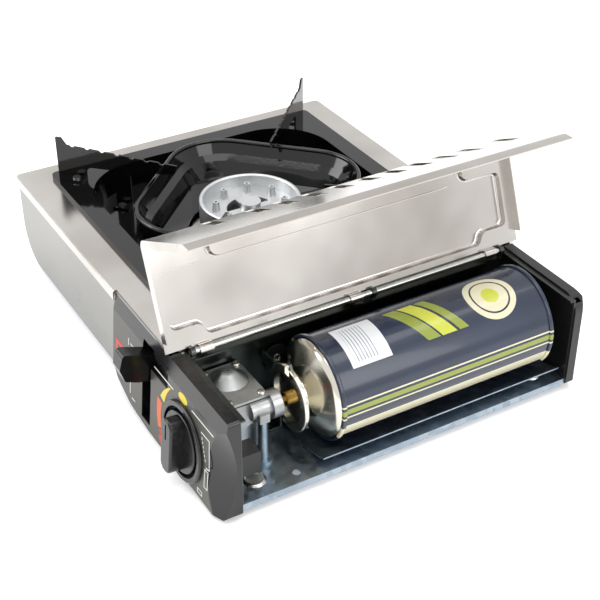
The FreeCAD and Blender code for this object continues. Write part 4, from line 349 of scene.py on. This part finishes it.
@dataclass(frozen=True)
class PrintedCan(Finish):
    """Lithographed tinplate: stripes along the can, and plain shapes on a slate ground."""

    disc_middle: Point = (9.0, 122.0)
    axis_x: float = 132.0
    axis_z: float = 45.2
    front: float = -40.5
    radius: float = 33.0
    cream: str = "#ddd7b8"
    olive: str = "#8f9a3c"
    lime: str = "#c6cc45"
    paper: str = "#e6e8ec"
    ruling: str = "#6f7780"

    def near(self, tree: bpy.types.NodeTree, value: bpy.types.NodeSocket, middle: float,
             half: float) -> bpy.types.NodeSocket:
        """Mask of a band: 1 where a value lies within half a width of its middle."""
        away = add_node(tree, "ShaderNodeMath", {"operation": "SUBTRACT"}, {0: value, 1: middle})
        distance = add_node(tree, "ShaderNodeMath", {"operation": "ABSOLUTE"}, {
            0: away.outputs[0]})
        inside = add_node(tree, "ShaderNodeMath", {"operation": "LESS_THAN"}, {
            0: distance.outputs[0], 1: half})
        return inside.outputs[0]

    def both(self, tree: bpy.types.NodeTree, one: bpy.types.NodeSocket,
             two: bpy.types.NodeSocket) -> bpy.types.NodeSocket:
        """Mask where two masks meet."""
        meet = add_node(tree, "ShaderNodeMath", {"operation": "MULTIPLY"}, {0: one, 1: two})
        return meet.outputs[0]

    def laid(self, tree: bpy.types.NodeTree, under: bpy.types.NodeSocket,
             mask: bpy.types.NodeSocket, colour: str) -> bpy.types.NodeSocket:
        """Print a colour over what is there, where the mask is 1."""
        layer = add_node(tree, "ShaderNodeMix", {"data_type": "RGBA"}, {
            0: mask, 6: under, 7: linear(colour)})
        return layer.outputs[2]

    def disc(self, tree: bpy.types.NodeTree, around: bpy.types.NodeSocket,
             along: bpy.types.NodeSocket, middle: Point, radius: float) -> bpy.types.NodeSocket:
        """Mask of a round spot on the rolled-out can."""
        flat = add_node(tree, "ShaderNodeCombineXYZ", inputs={"X": around, "Y": along})
        away = add_node(tree, "ShaderNodeVectorMath", {"operation": "DISTANCE"}, {
            0: flat.outputs["Vector"], 1: (middle[0], middle[1], 0.0)})
        inside = add_node(tree, "ShaderNodeMath", {"operation": "LESS_THAN"}, {
            0: away.outputs["Value"], 1: radius})
        return inside.outputs[0]

    def pattern(self, tree: bpy.types.NodeTree, shader: bpy.types.Node) -> None:
        """Roll the can out into millimetres around and along it, and print on that."""
        place = add_node(tree, "ShaderNodeTexCoord")
        centred = add_node(tree, "ShaderNodeMapping", inputs={
            "Vector": place.outputs["Object"],
            "Location": -metres(self.axis_x, self.front, self.axis_z)})
        parts = add_node(tree, "ShaderNodeSeparateXYZ", inputs={0: centred.outputs["Vector"]})
        turn = add_node(tree, "ShaderNodeMath", {"operation": "ARCTAN2"}, {
            0: parts.outputs["X"], 1: parts.outputs["Z"]})
        around = add_node(tree, "ShaderNodeMath", {"operation": "MULTIPLY"}, {
            0: turn.outputs[0], 1: self.radius}).outputs[0]
        along = add_node(tree, "ShaderNodeMath", {"operation": "MULTIPLY"}, {
            0: parts.outputs["Y"], 1: 1000.0}).outputs[0]
        ground = add_node(tree, "ShaderNodeTexNoise", inputs={
            "Vector": place.outputs["Object"], "Scale": per_metre(30.0)})
        slate = add_node(tree, "ShaderNodeMix", {"data_type": "RGBA"}, {
            0: ground.outputs["Fac"], 6: linear(self.colour), 7: linear("#26324a")})
        layer = slate.outputs[2]
        for middle, half, colour in ((45.5, 0.55, self.cream), (49.5, 1.7, self.olive),
                                     (53.5, 0.55, self.cream), (66.5, 5.5, self.cream),
                                     (-30.0, 1.2, self.olive), (-60.0, 6.0, self.cream)):
            layer = self.laid(tree, layer, self.near(tree, around, middle, half), colour)
        card = self.both(tree, self.near(tree, around, 9.0, 16.0),
                         self.near(tree, along, 26.0, 14.0))
        layer = self.laid(tree, layer, card, self.paper)
        rules = add_node(tree, "ShaderNodeMath", {"operation": "PINGPONG"}, {
            0: along, 1: 1.1}).outputs[0]
        thin = add_node(tree, "ShaderNodeMath", {"operation": "LESS_THAN"}, {
            0: rules, 1: 0.25}).outputs[0]
        field = self.both(tree, self.near(tree, around, 9.0, 13.0),
                          self.near(tree, along, 24.0, 8.5))
        layer = self.laid(tree, layer, self.both(tree, field, thin), self.ruling)
        lean = add_node(tree, "ShaderNodeMath", {"operation": "MULTIPLY_ADD"}, {
            0: around, 1: -0.55, 2: along}).outputs[0]
        height = self.near(tree, around, 9.0, 15.0)
        for middle, half, colour in ((58.0, 4.6, self.olive), (69.5, 5.4, self.lime),
                                     (80.5, 3.4, self.olive)):
            bar = self.both(tree, self.near(tree, lean, middle, half), height)
            layer = self.laid(tree, layer, bar, colour)
        for radius, colour in ((17.5, self.cream), (13.5, self.colour), (12.3, self.cream),
                               (6.0, self.lime)):
            spot = self.disc(tree, around, along, self.disc_middle, radius)
            layer = self.laid(tree, layer, spot, colour)
        tree.links.new(layer, shader.inputs["Base Color"])


# Painted reflections: the bright stainless is dark brown with near-white patches, standing in for the
# reflections on its top plate and lid.
STAINLESS = RolledSteel("rolled_stainless_painted_reflections", "#857c72", 0.17, 1.0, other="#efece8", patch=110.0)
# Painted dark reflection: the stainless wall gets a darker base colour than the top plate, standing
# in for the dark that it reflects.
STAINLESS_WALL = RolledSteel("steel_wall_painted_dark_reflection", "#6f6e6b", 0.30, 0.85, other="#a3a29f",
                             stretch=(0.012, 1.0, 1.0))
GALVANISED = ZincCoated("hot_dip_galvanised_sheet", "#93a1ae", 0.34, 1.0, other="#aebac4")
BAY_STEEL = RolledSteel("dull_zinc_plated_bay_sheet", "#454a48", 0.30, 1.0, other="#5a5f5c",
                        stretch=(1.0, 0.012, 1.0))
ENAMEL = FusedEnamel("black_fused_enamel", "#050506", 0.08, ior=1.5)
ALUMINIUM = Casting("die_cast_aluminium", "#d9dadb", 0.42, 1.0, other="#c6c8c9")
ZINC_CAST = Casting("die_cast_zinc", "#b4b6b5", 0.36, 1.0, other="#9a9c9b", grain=0.8)
ABS_FACE = Moulded("black_moulded_abs", "#0e0e0f", 0.34, ior=1.54, other="#161617")
ABS_GLOSS = Moulded("black_polished_abs", "#070708", 0.26, ior=1.54, other="#0c0c0d", depth=0.006)
PANEL_FACE = PanelFace("charcoal_painted_panel", "#0d0d0e", 0.24, ior=1.54)
RUBBER = Moulded("black_moulded_rubber", "#171717", 0.72, ior=1.52)
PLATED = RolledSteel("bright_zinc_plated_steel", "#b9bdc0", 0.24, 1.0, other="#c9c6b8")
DARK_STEEL = RolledSteel("blackened_steel", "#3c3f3e", 0.34, 0.9, other="#4a4d4b")
TINPLATE = RolledSteel("lacquered_tinplate", "#d6d0bd", 0.17, 1.0, other="#e2dfd6", line=1.2,
                       stretch=(1.0, 1.0, 1.0), depth=0.002)
BRASS = Casting("turned_brass", "#b08d4a", 0.28, 1.0, other="#c09c58", depth=0.01)
CERAMIC = Moulded("white_glazed_ceramic", "#e8e5dc", 0.18, ior=1.55, other="#dedace")
SLEEVE = Moulded("red_silicone_sleeve", "#9c2a1e", 0.45, ior=1.43, other="#b03526")
CAN_PRINT = PrintedCan("printed_tinplate", "#1c2536", 0.24, ior=1.5, coat=0.35)
WHITE_INK = Moulded("white_screen_ink", "#e4e4e0", 0.45, other="#d8d8d4", depth=0.004)
YELLOW_INK = Moulded("yellow_screen_ink", "#e3cf3f", 0.45, other="#d6c036", depth=0.004)
ORANGE_INK = Moulded("orange_screen_ink", "#d9682f", 0.45, other="#cc5d28", depth=0.004)
RED_INK = Moulded("red_screen_ink", "#c23a2c", 0.45, other="#b23024", depth=0.004)

NODE_FINISHES = {
    STAINLESS: ("top_plate", "lid"),
    STAINLESS_WALL: ("body_shell",),
    GALVANISED: ("base_pan", "cartridge_tray", "burner_bracket", "support_post"),
    BAY_STEEL: ("partition_wall", "front_bulkhead", "hinge_rail", "collar_fork"),
    ENAMEL: ("pan_support", "pot_arm_1", "pot_arm_2", "pot_arm_3", "pot_arm_4"),
    ALUMINIUM: ("burner_head", "burner_body", "mixing_tube"),
    ZINC_CAST: ("regulator_body", "regulator_cover", "cartridge_socket"),
    PANEL_FACE: ("front_panel",),
    ABS_FACE: ("rear_end_wall", "rear_bulkhead", "piezo_igniter"),
    ABS_GLOSS: ("control_knob", "lever_knob"),
    RUBBER: ("rubber_feet", "diaphragm", "socket_seal"),
    PLATED: ("hinge_rod", "regulator_screws", "regulator_spring", "valve_spindle", "lever_shaft",
             "slide_screw", "gas_pipe", "arm_rivets", "lock_lever"),
    DARK_STEEL: ("cam_plate", "lever_pivot_screw"),
    TINPLATE: ("cartridge_dome", "cartridge_base", "cartridge_collar"),
    BRASS: ("gas_nozzle", "cartridge_valve", "lever_bush"),
    CERAMIC: ("igniter_electrode",),
    SLEEVE: ("igniter_lead",),
    CAN_PRINT: ("cartridge_body",),
}


def clear_selection() -> None:
    """Leave edit mode and deselect everything."""
    if bpy.context.mode != "OBJECT":
        bpy.ops.object.mode_set(mode="OBJECT")
    bpy.ops.object.select_all(action="DESELECT")


def take(piece: bpy.types.Object) -> None:
    """Make one object the only selected and active one."""
    clear_selection()
    piece.select_set(True)
    bpy.context.view_layer.objects.active = piece


def choose_faces(piece: bpy.types.Object, wanted: Callable[[Vector, Vector], bool]) -> None:
    """Enter edit mode with the wanted faces selected.

    Args:
        piece: The mesh object.
        wanted: Says of a face's middle and normal whether it is wanted.
    """
    take(piece)
    bpy.ops.object.mode_set(mode="EDIT")
    bpy.ops.mesh.select_mode(type="FACE")
    bpy.ops.mesh.select_all(action="DESELECT")
    bpy.ops.object.mode_set(mode="OBJECT")
    for polygon in piece.data.polygons:
        polygon.select = wanted(polygon.center, polygon.normal)
    bpy.ops.object.mode_set(mode="EDIT")


def apply_modifier(piece: bpy.types.Object, kind: str, settings: dict) -> None:
    """Add a modifier with its settings and apply it."""
    take(piece)
    modifier = piece.modifiers.new(kind.lower(), kind)
    for key, value in settings.items():
        setattr(modifier, key, value)
    bpy.ops.object.modifier_apply(modifier=modifier.name)


def settle(piece: bpy.types.Object, name: str, finish: Finish, body: Body,
           stands_for: Iterable[str] = ()) -> bpy.types.Object:
    """Put a finished piece's place into its mesh, dress it and let it ride.

    Args:
        piece: The mesh object.
        name: Its name in the model.
        finish: Its surface.
        body: The body it moves with.
        stands_for: CAD nodes that it replaces.

    Returns:
        The same object.
    """
    take(piece)
    bpy.ops.object.transform_apply(location=True, rotation=True, scale=True)
    bpy.ops.object.shade_smooth_by_angle(angle=SMOOTH_ANGLE)
    piece.name = name
    piece.data.name = name
    piece.data.materials.clear()
    piece.data.materials.append(finish.material())
    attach(piece, body.value)
    for node in stands_for:
        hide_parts(node)
    LOG.info("%s: %d faces, on %s", name, len(piece.data.polygons), body.value)
    return piece


def join(pieces: Sequence[bpy.types.Object]) -> bpy.types.Object:
    """Join meshes into the first of them."""
    take(pieces[0])
    for piece in pieces:
        piece.select_set(True)
    bpy.ops.object.join()
    return pieces[0]


def flat_shape(loops: Sequence[Sequence[Point]], thickness: float) -> bpy.types.Object:
    """A flat filled shape of some thickness, lying on its own XY plane.

    Args:
        loops: Closed outlines in millimetres; one inside another is a hole.
        thickness: Its thickness in millimetres.

    Returns:
        The mesh object.
    """
    curve = bpy.data.curves.new("outline", "CURVE")
    curve.dimensions = "2D"
    curve.fill_mode = "BOTH"
    curve.extrude = thickness / 2000.0
    for loop in loops:
        spline = curve.splines.new("POLY")
        spline.points.add(len(loop) - 1)
        for point, (across, up) in zip(spline.points, loop):
            point.co = (across / 1000.0, up / 1000.0, 0.0, 1.0)
        spline.use_cyclic_u = True
    piece = bpy.data.objects.new("outline", curve)
    bpy.context.scene.collection.objects.link(piece)
    take(piece)
    bpy.ops.object.convert(target="MESH")
    return bpy.context.view_layer.objects.active


def ellipse(middle: Point, half: Point, count: int = 40) -> list[Point]:
    """Points round an ellipse."""
    return [(middle[0] + half[0] * math.cos(math.tau * i / count),
             middle[1] + half[1] * math.sin(math.tau * i / count)) for i in range(count)]


def rectangle(low: Point, high: Point) -> list[Point]:
    """Corners of an upright rectangle."""
    return [low, (high[0], low[1]), high, (low[0], high[1])]


def crescent(middle: Point, radius: float, start: float, end: float, wide: float,
             narrow: float, count: int = 16) -> list[Point]:
    """A strip along a circle that narrows evenly from its start to its end.

    Args:
        middle: Centre of the circle.
        radius: Its radius.
        start: Bearing where the strip starts, in degrees.
        end: Bearing where it ends.
        wide: Half width at the start.
        narrow: Half width at the end.
        count: Steps along it.

    Returns:
        Its outline.
    """
    outer: list[Point] = []
    inner: list[Point] = []
    for step in range(count + 1):
        share = step / count
        bearing = math.radians(start + (end - start) * share)
        half = wide + (narrow - wide) * share
        outer.append((middle[0] + (radius + half) * math.cos(bearing),
                      middle[1] + (radius + half) * math.sin(bearing)))
        inner.append((middle[0] + (radius - half) * math.cos(bearing),
                      middle[1] + (radius - half) * math.sin(bearing)))
    return outer + inner[::-1]


@dataclass
class CrossScrew:
    """A pan-head screw with a cross recess."""

    radius: float = 2.6
    height: float = 1.8
    recess: float = 0.75
    arm: float = 3.4
    depth: float = 1.0
    crown: tuple[Point, ...] = ((0.14, 0.28), (0.24, 0.17), (0.3, 0.05))

    def build(self) -> bpy.types.Object:
        """Make the head standing on the origin, its axis along Z.

        Its crown is a row of steps: each an inset as a share of the radius, and a rise as a share
        of the height.

        Returns:
            The head.
        """
        clear_selection()
        bpy.ops.mesh.primitive_cylinder_add(vertices=32, radius=self.radius / 1000.0,
                                            depth=self.height * 0.5 / 1000.0,
                                            location=metres(0.0, 0.0, self.height * 0.25))
        head = bpy.context.view_layer.objects.active
        choose_faces(head, lambda middle, normal: normal.z > 0.9)
        for inset, rise in self.crown:
            bpy.ops.mesh.inset(thickness=inset * self.radius / 1000.0)
            bpy.ops.transform.translate(value=metres(0.0, 0.0, rise * self.height))
        clear_selection()
        cutters = []
        for size in ((self.arm, self.recess), (self.recess, self.arm)):
            bpy.ops.mesh.primitive_cube_add(size=1.0, location=metres(0.0, 0.0, self.height))
            cutter = bpy.context.view_layer.objects.active
            cutter.scale = metres(size[0], size[1], 2.0 * self.depth)
            cutters.append(cutter)
        for cutter in cutters:
            apply_modifier(head, "BOOLEAN", {"object": cutter, "operation": "DIFFERENCE"})
            bpy.data.objects.remove(cutter)
        return head

    def stand(self, head: bpy.types.Object, at: Vector, axis: Vector, turn: float) -> None:
        """Move a head so that it stands at a point along an axis, turned in degrees."""
        spin = Matrix.Rotation(math.radians(turn), 4, "Z")
        lean = axis.to_track_quat("Z", "Y").to_matrix().to_4x4()
        head.data.transform(Matrix.Translation(at) @ lean @ spin)


@dataclass
class Fasteners:
    """The small screws that show, in place of their plain solids."""

    screw: CrossScrew
    regulator_left: float = 97.2
    regulator_right: float = 129.8
    regulator_front: float = -98.9
    regulator_back: float = -77.3
    guide_radius: float = 3.4
    regulator_top: float = 54.0

    def build(self) -> None:
        """Dress the regulator's four screws, the guide screw and the cam's screw."""
        heads = []
        turns = iter((12.0, 40.0, 75.0, 20.0))
        for across in (self.regulator_left, self.regulator_right):
            for deep in (self.regulator_front, self.regulator_back):
                head = self.screw.build()
                self.screw.stand(head, metres(across, deep, self.regulator_top),
                                 Vector((0.0, 0.0, 1.0)), next(turns))
                heads.append(head)
        settle(join(heads), "cover_screw_heads", PLATED, Body.STOVE,
               ("regulator_screws",))
        low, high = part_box("slide_screw")
        wide = CrossScrew(radius=self.guide_radius)
        guide = wide.build()
        foot = Vector(((low.x + high.x) / 2.0, (low.y + high.y) / 2.0,
                       high.z - wide.height / 1000.0))
        wide.stand(guide, foot, Vector((0.0, 0.0, 1.0)), 30.0)
        settle(guide, "guide_screw_head", PLATED, Body.STOVE, ("slide_screw",))
        low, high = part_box("lever_pivot_screw")
        thin = CrossScrew(radius=self.guide_radius, height=(high.x - low.x) * 1000.0, depth=0.5)
        pivot = thin.build()
        thin.stand(pivot, Vector((low.x, (low.y + high.y) / 2.0, (low.z + high.z) / 2.0)),
                   Vector((1.0, 0.0, 0.0)), 25.0)
        settle(pivot, "cam_screw_head", PLATED, Body.LEVER,
               ("lever_pivot_screw",))


@dataclass
class PanelPrints:
    """Marks screen-printed on the front panel's leaning face."""

    knob_axis: Point = (119.0, 29.0)
    face_top: float = 62.0
    face_reach: float = -121.7
    slope: float = math.degrees(math.atan(5.4 / 59.0))
    thickness: float = 0.12

    def on_face(self, piece: bpy.types.Object) -> bpy.types.Object:
        """Lay a shape drawn in the panel's X and Z onto its leaning face."""
        lean = math.radians(self.slope)
        up = Vector((0.0, math.sin(lean), math.cos(lean)))
        out = Vector((0.0, -math.cos(lean), math.sin(lean)))
        stretch = 1.0 / math.cos(lean)
        foot = metres(0.0, self.face_reach - self.face_top * math.tan(lean), 0.0)
        foot += out * (self.thickness / 2000.0)
        columns = (Vector((1.0, 0.0, 0.0)), up * stretch, out)
        turn = Matrix([[column[row] for column in columns] for row in range(3)]).to_4x4()
        piece.data.transform(Matrix.Translation(foot) @ turn)
        return piece

    def ink(self, name: str, finish: Finish, *loops: Sequence[Point]) -> None:
        """Print one mark."""
        piece = self.on_face(flat_shape(loops, self.thickness))
        settle(piece, name, finish, Body.STOVE)

    def frame(self, low: Point, high: Point, line: float) -> tuple[list[Point], list[Point]]:
        """Outer and inner edge of an outlined rectangle."""
        inner_low = (low[0] + line, low[1] + line)
        inner_high = (high[0] - line, high[1] - line)
        return rectangle(low, high), rectangle(inner_low, inner_high)

    def build(self) -> None:
        """Print lines, badge, flame scale and pictograms."""
        self.ink("print_line_left", WHITE_INK, rectangle((76.6, 55.8), (103.2, 56.6)))
        self.ink("print_line_right", WHITE_INK, rectangle((127.7, 56.8), (155.4, 57.6)))
        self.ink("print_badge", YELLOW_INK, ellipse((116.2, 58.0), (5.8, 3.1)))
        self.ink("print_flame_high", YELLOW_INK,
                 crescent(self.knob_axis, 32.0, 160.0, 128.0, 2.9, 0.4))
        self.ink("print_flame_low", ORANGE_INK,
                 crescent(self.knob_axis, 34.4, 166.0, 200.0, 3.4, 2.4))
        self.ink("print_flame_foot", RED_INK, crescent(self.knob_axis, 34.4, 202.0, 207.0, 2.0, 1.2))
        self.ink("print_stop", RED_INK, ellipse((88.0, 9.4), (2.5, 3.0), 24))
        self.ink("print_lock_red", RED_INK, *self.frame((18.8, 32.0), (30.6, 43.0), 3.2))
        self.ink("print_lock_yellow", YELLOW_INK, rectangle((18.8, 24.0), (25.4, 30.6)))
        self.ink("print_tick_a", WHITE_INK, rectangle((38.0, 49.0), (38.8, 54.0)))
        self.ink("print_tick_b", WHITE_INK, rectangle((41.0, 51.0), (47.0, 51.7)))
        self.ink("print_tick_c", WHITE_INK, rectangle((41.4, 14.0), (42.2, 24.0)))
        self.ink("print_tick_d", WHITE_INK, rectangle((44.4, 11.6), (49.6, 12.3)))
        self.ink("print_guide_line", WHITE_INK, [
            (140.6, 50.2), (150.6, 50.2), (152.2, 31.0), (148.4, 30.2), (148.5, 29.6), (152.9, 30.4),
            (151.2, 50.9), (140.6, 50.9)])
        for step in range(DASHES):
            share = step / DASHES
            across = 141.4 + 6.0 * share
            up = 47.8 - 15.0 * share
            self.ink("print_dash_%d" % step, WHITE_INK, [
                (across, up), (across + 0.8, up), (across + 1.4, up - 1.6), (across + 0.6, up - 1.6)])
        self.ink("print_box", WHITE_INK, *self.frame((147.0, 15.0), (151.6, 28.4), 0.6))
        self.ink("print_cup", WHITE_INK, *self.frame((139.0, 6.0), (145.4, 9.2), 0.6))


@dataclass
class FootBosses:
    """Dished steel bosses in the base plate over the studs of the four feet."""

    left: float = -122.0
    right: float = 151.0
    front: float = -94.5
    rear: float = 113.5
    top: float = 9.5
    radius: float = 7.4
    steps: tuple[Point, ...] = ((7.0, 0.6), (6.4, 0.5), (5.6, 0.2), (4.8, -0.12), (4.2, -0.18))

    def build(self) -> None:
        """Model one boss over each foot, and make them one piece."""
        bosses = []
        for across in (self.left, self.right):
            for deep in (self.front, self.rear):
                bosses.append(self.boss(metres(across, deep, self.top)))
        settle(join(bosses), "foot_bosses", PLATED, Body.STOVE)

    def boss(self, at: Vector) -> bpy.types.Object:
        """A low round boss with a dished top, extruded inwards from its foot.

        Args:
            at: Middle of its foot.

        Returns:
            The boss.
        """
        clear_selection()
        bpy.ops.mesh.primitive_circle_add(vertices=40, radius=self.radius / 1000.0,
                                          fill_type="NOTHING", location=at)
        boss = bpy.context.view_layer.objects.active
        bpy.ops.object.mode_set(mode="EDIT")
        bpy.ops.mesh.select_all(action="SELECT")
        radius = self.radius
        for new_radius, rise in self.steps:
            bpy.ops.mesh.extrude_edges_move()
            share = new_radius / radius
            bpy.ops.transform.resize(value=(share, share, 1.0))
            bpy.ops.transform.translate(value=metres(0.0, 0.0, rise))
            radius = new_radius
        bpy.ops.mesh.edge_face_add()
        bpy.ops.mesh.select_all(action="SELECT")
        bpy.ops.mesh.normals_make_consistent(inside=False)
        bpy.ops.object.mode_set(mode="OBJECT")
        return boss


@dataclass
class Studio:
    """Floor, soft lights, white surroundings and the camera."""

    floor_size: float = 12.0
    floor_colour: str = "#fbfbfb"
    floor_glow: float = 0.22
    dome: float = 0.82
    camera_at: tuple[float, float, float] = (0.65827, -0.35975, 0.51979)
    camera_back: tuple[float, float, float] = (0.718, -0.420, 0.555)
    lens: float = 76.32
    target: tuple[float, float, float] = (0.0, 0.0, 0.05)
    side_target: tuple[float, float, float] = (0.05, 0.0, 0.05)

    def build(self) -> None:
        """Set up everything round the stove."""
        bpy.context.scene.view_settings.view_transform = "Standard"
        self.floor()
        self.world()
        self.lamp("overhead_soft", (0.1, 0.1, 1.5), self.target, 1.4, 12.0)
        self.lamp("front_soft", (-0.9, -1.2, 1.0), self.target, 1.0, 15.0)
        self.lamp("side_soft", (1.5, 0.4, 0.9), self.side_target, 1.0, 9.0)
        self.camera()

    def floor(self) -> None:
        """A wide pale floor that keeps the stove's shadow."""
        clear_selection()
        bpy.ops.mesh.primitive_plane_add(size=self.floor_size)
        floor = bpy.context.view_layer.objects.active
        floor.name = "studio_floor"
        paper = Moulded("matt_paper_floor", self.floor_colour, 0.9, other="#fdfdfd", depth=0.001)
        dressed = paper.material()
        floor.data.materials.append(dressed)
        self.lift_to_white(dressed)

    def lift_to_white(self, paper: bpy.types.Material) -> None:
        """Lift the paper to white for the eye and in reflections; its shadows stay."""
        tree = paper.node_tree
        shader = tree.nodes["Principled BSDF"]
        shown = self.shown_rays(tree)
        glow = add_node(tree, "ShaderNodeMath", {"operation": "MULTIPLY"}, {
            0: shown, 1: self.floor_glow})
        shader.inputs["Emission Color"].default_value = WHITE
        tree.links.new(glow.outputs[0], shader.inputs["Emission Strength"])

    def shown_rays(self, tree: bpy.types.NodeTree) -> bpy.types.NodeSocket:
        """Tell rays that the eye follows, straight, mirrored or through glass, from lighting rays."""
        path = add_node(tree, "ShaderNodeLightPath")
        seen = add_node(tree, "ShaderNodeMath", {"operation": "MAXIMUM"}, {
            0: path.outputs["Is Camera Ray"], 1: path.outputs["Is Glossy Ray"]})
        shown = add_node(tree, "ShaderNodeMath", {"operation": "MAXIMUM"}, {
            0: seen.outputs[0], 1: path.outputs["Is Transmission Ray"]})
        return shown.outputs[0]

    def world(self) -> None:
        """White to the eye and in reflections, a softer white as light."""
        world = bpy.data.worlds.new("white_room")
        bpy.context.scene.world = world
        world.use_nodes = True
        tree = world.node_tree
        back = tree.nodes["Background"]
        strength = add_node(tree, "ShaderNodeMapRange", inputs={
            "Value": self.shown_rays(tree), "To Min": self.dome, "To Max": 1.0})
        tree.links.new(strength.outputs["Result"], back.inputs["Strength"])
        back.inputs["Color"].default_value = WHITE

    def lamp(self, name: str, at: Sequence[float], to: Sequence[float], size: float,
             watts: float) -> None:
        """One square soft lamp aimed at a point.

        Args:
            name: Its name.
            at: Its place in metres.
            to: The point that it faces.
            size: Its side in metres.
            watts: Its power.
        """
        light = bpy.data.lights.new(name, "AREA")
        light.shape = "SQUARE"
        light.size = size
        light.energy = watts
        lamp = bpy.data.objects.new(name, light)
        bpy.context.scene.collection.objects.link(lamp)
        lamp.location = Vector(at)
        lamp.rotation_euler = (Vector(at) - Vector(to)).to_track_quat("Z", "Y").to_euler()

    def camera(self) -> None:
        """The camera at the photograph's viewing angle."""
        lens = bpy.data.cameras.new("camera")
        lens.lens = self.lens
        lens.sensor_width = SENSOR_WIDTH
        camera = bpy.data.objects.new("camera", lens)
        bpy.context.scene.collection.objects.link(camera)
        camera.location = Vector(self.camera_at)
        camera.rotation_euler = Vector(self.camera_back).to_track_quat("Z", "Y").to_euler()
        bpy.context.scene.camera = camera


@dataclass
class FrameDressing:
    """Gives every CAD node that stays its real surface."""

    nodes: dict[str, bpy.types.Object]

    def build(self) -> None:
        """Dress the nodes, and stop if one was left plain."""
        left = set(self.nodes)
        for finish, names in NODE_FINISHES.items():
            for name in names:
                self.dress(self.nodes[name], finish)
                left.discard(name)
        if left:
            raise ValueError("nodes without a finish: %s" % sorted(left))

    def dress(self, node: bpy.types.Object, finish: Finish) -> None:
        """Assign a finish to every material slot of a node."""
        for slot in node.material_slots:
            slot.material = finish.material()
        LOG.info("%s: %s", node.name, finish.name)


def main() -> None:
    """Build the look of the stove in order."""
    logging.basicConfig(level=logging.INFO, format="%(name)s %(message)s")
    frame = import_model()
    FrameDressing(frame["nodes"]).build()
    Fasteners(CrossScrew()).build()
    PanelPrints().build()
    FootBosses().build()
    Studio().build()


if __name__ == "__main__":
    main()
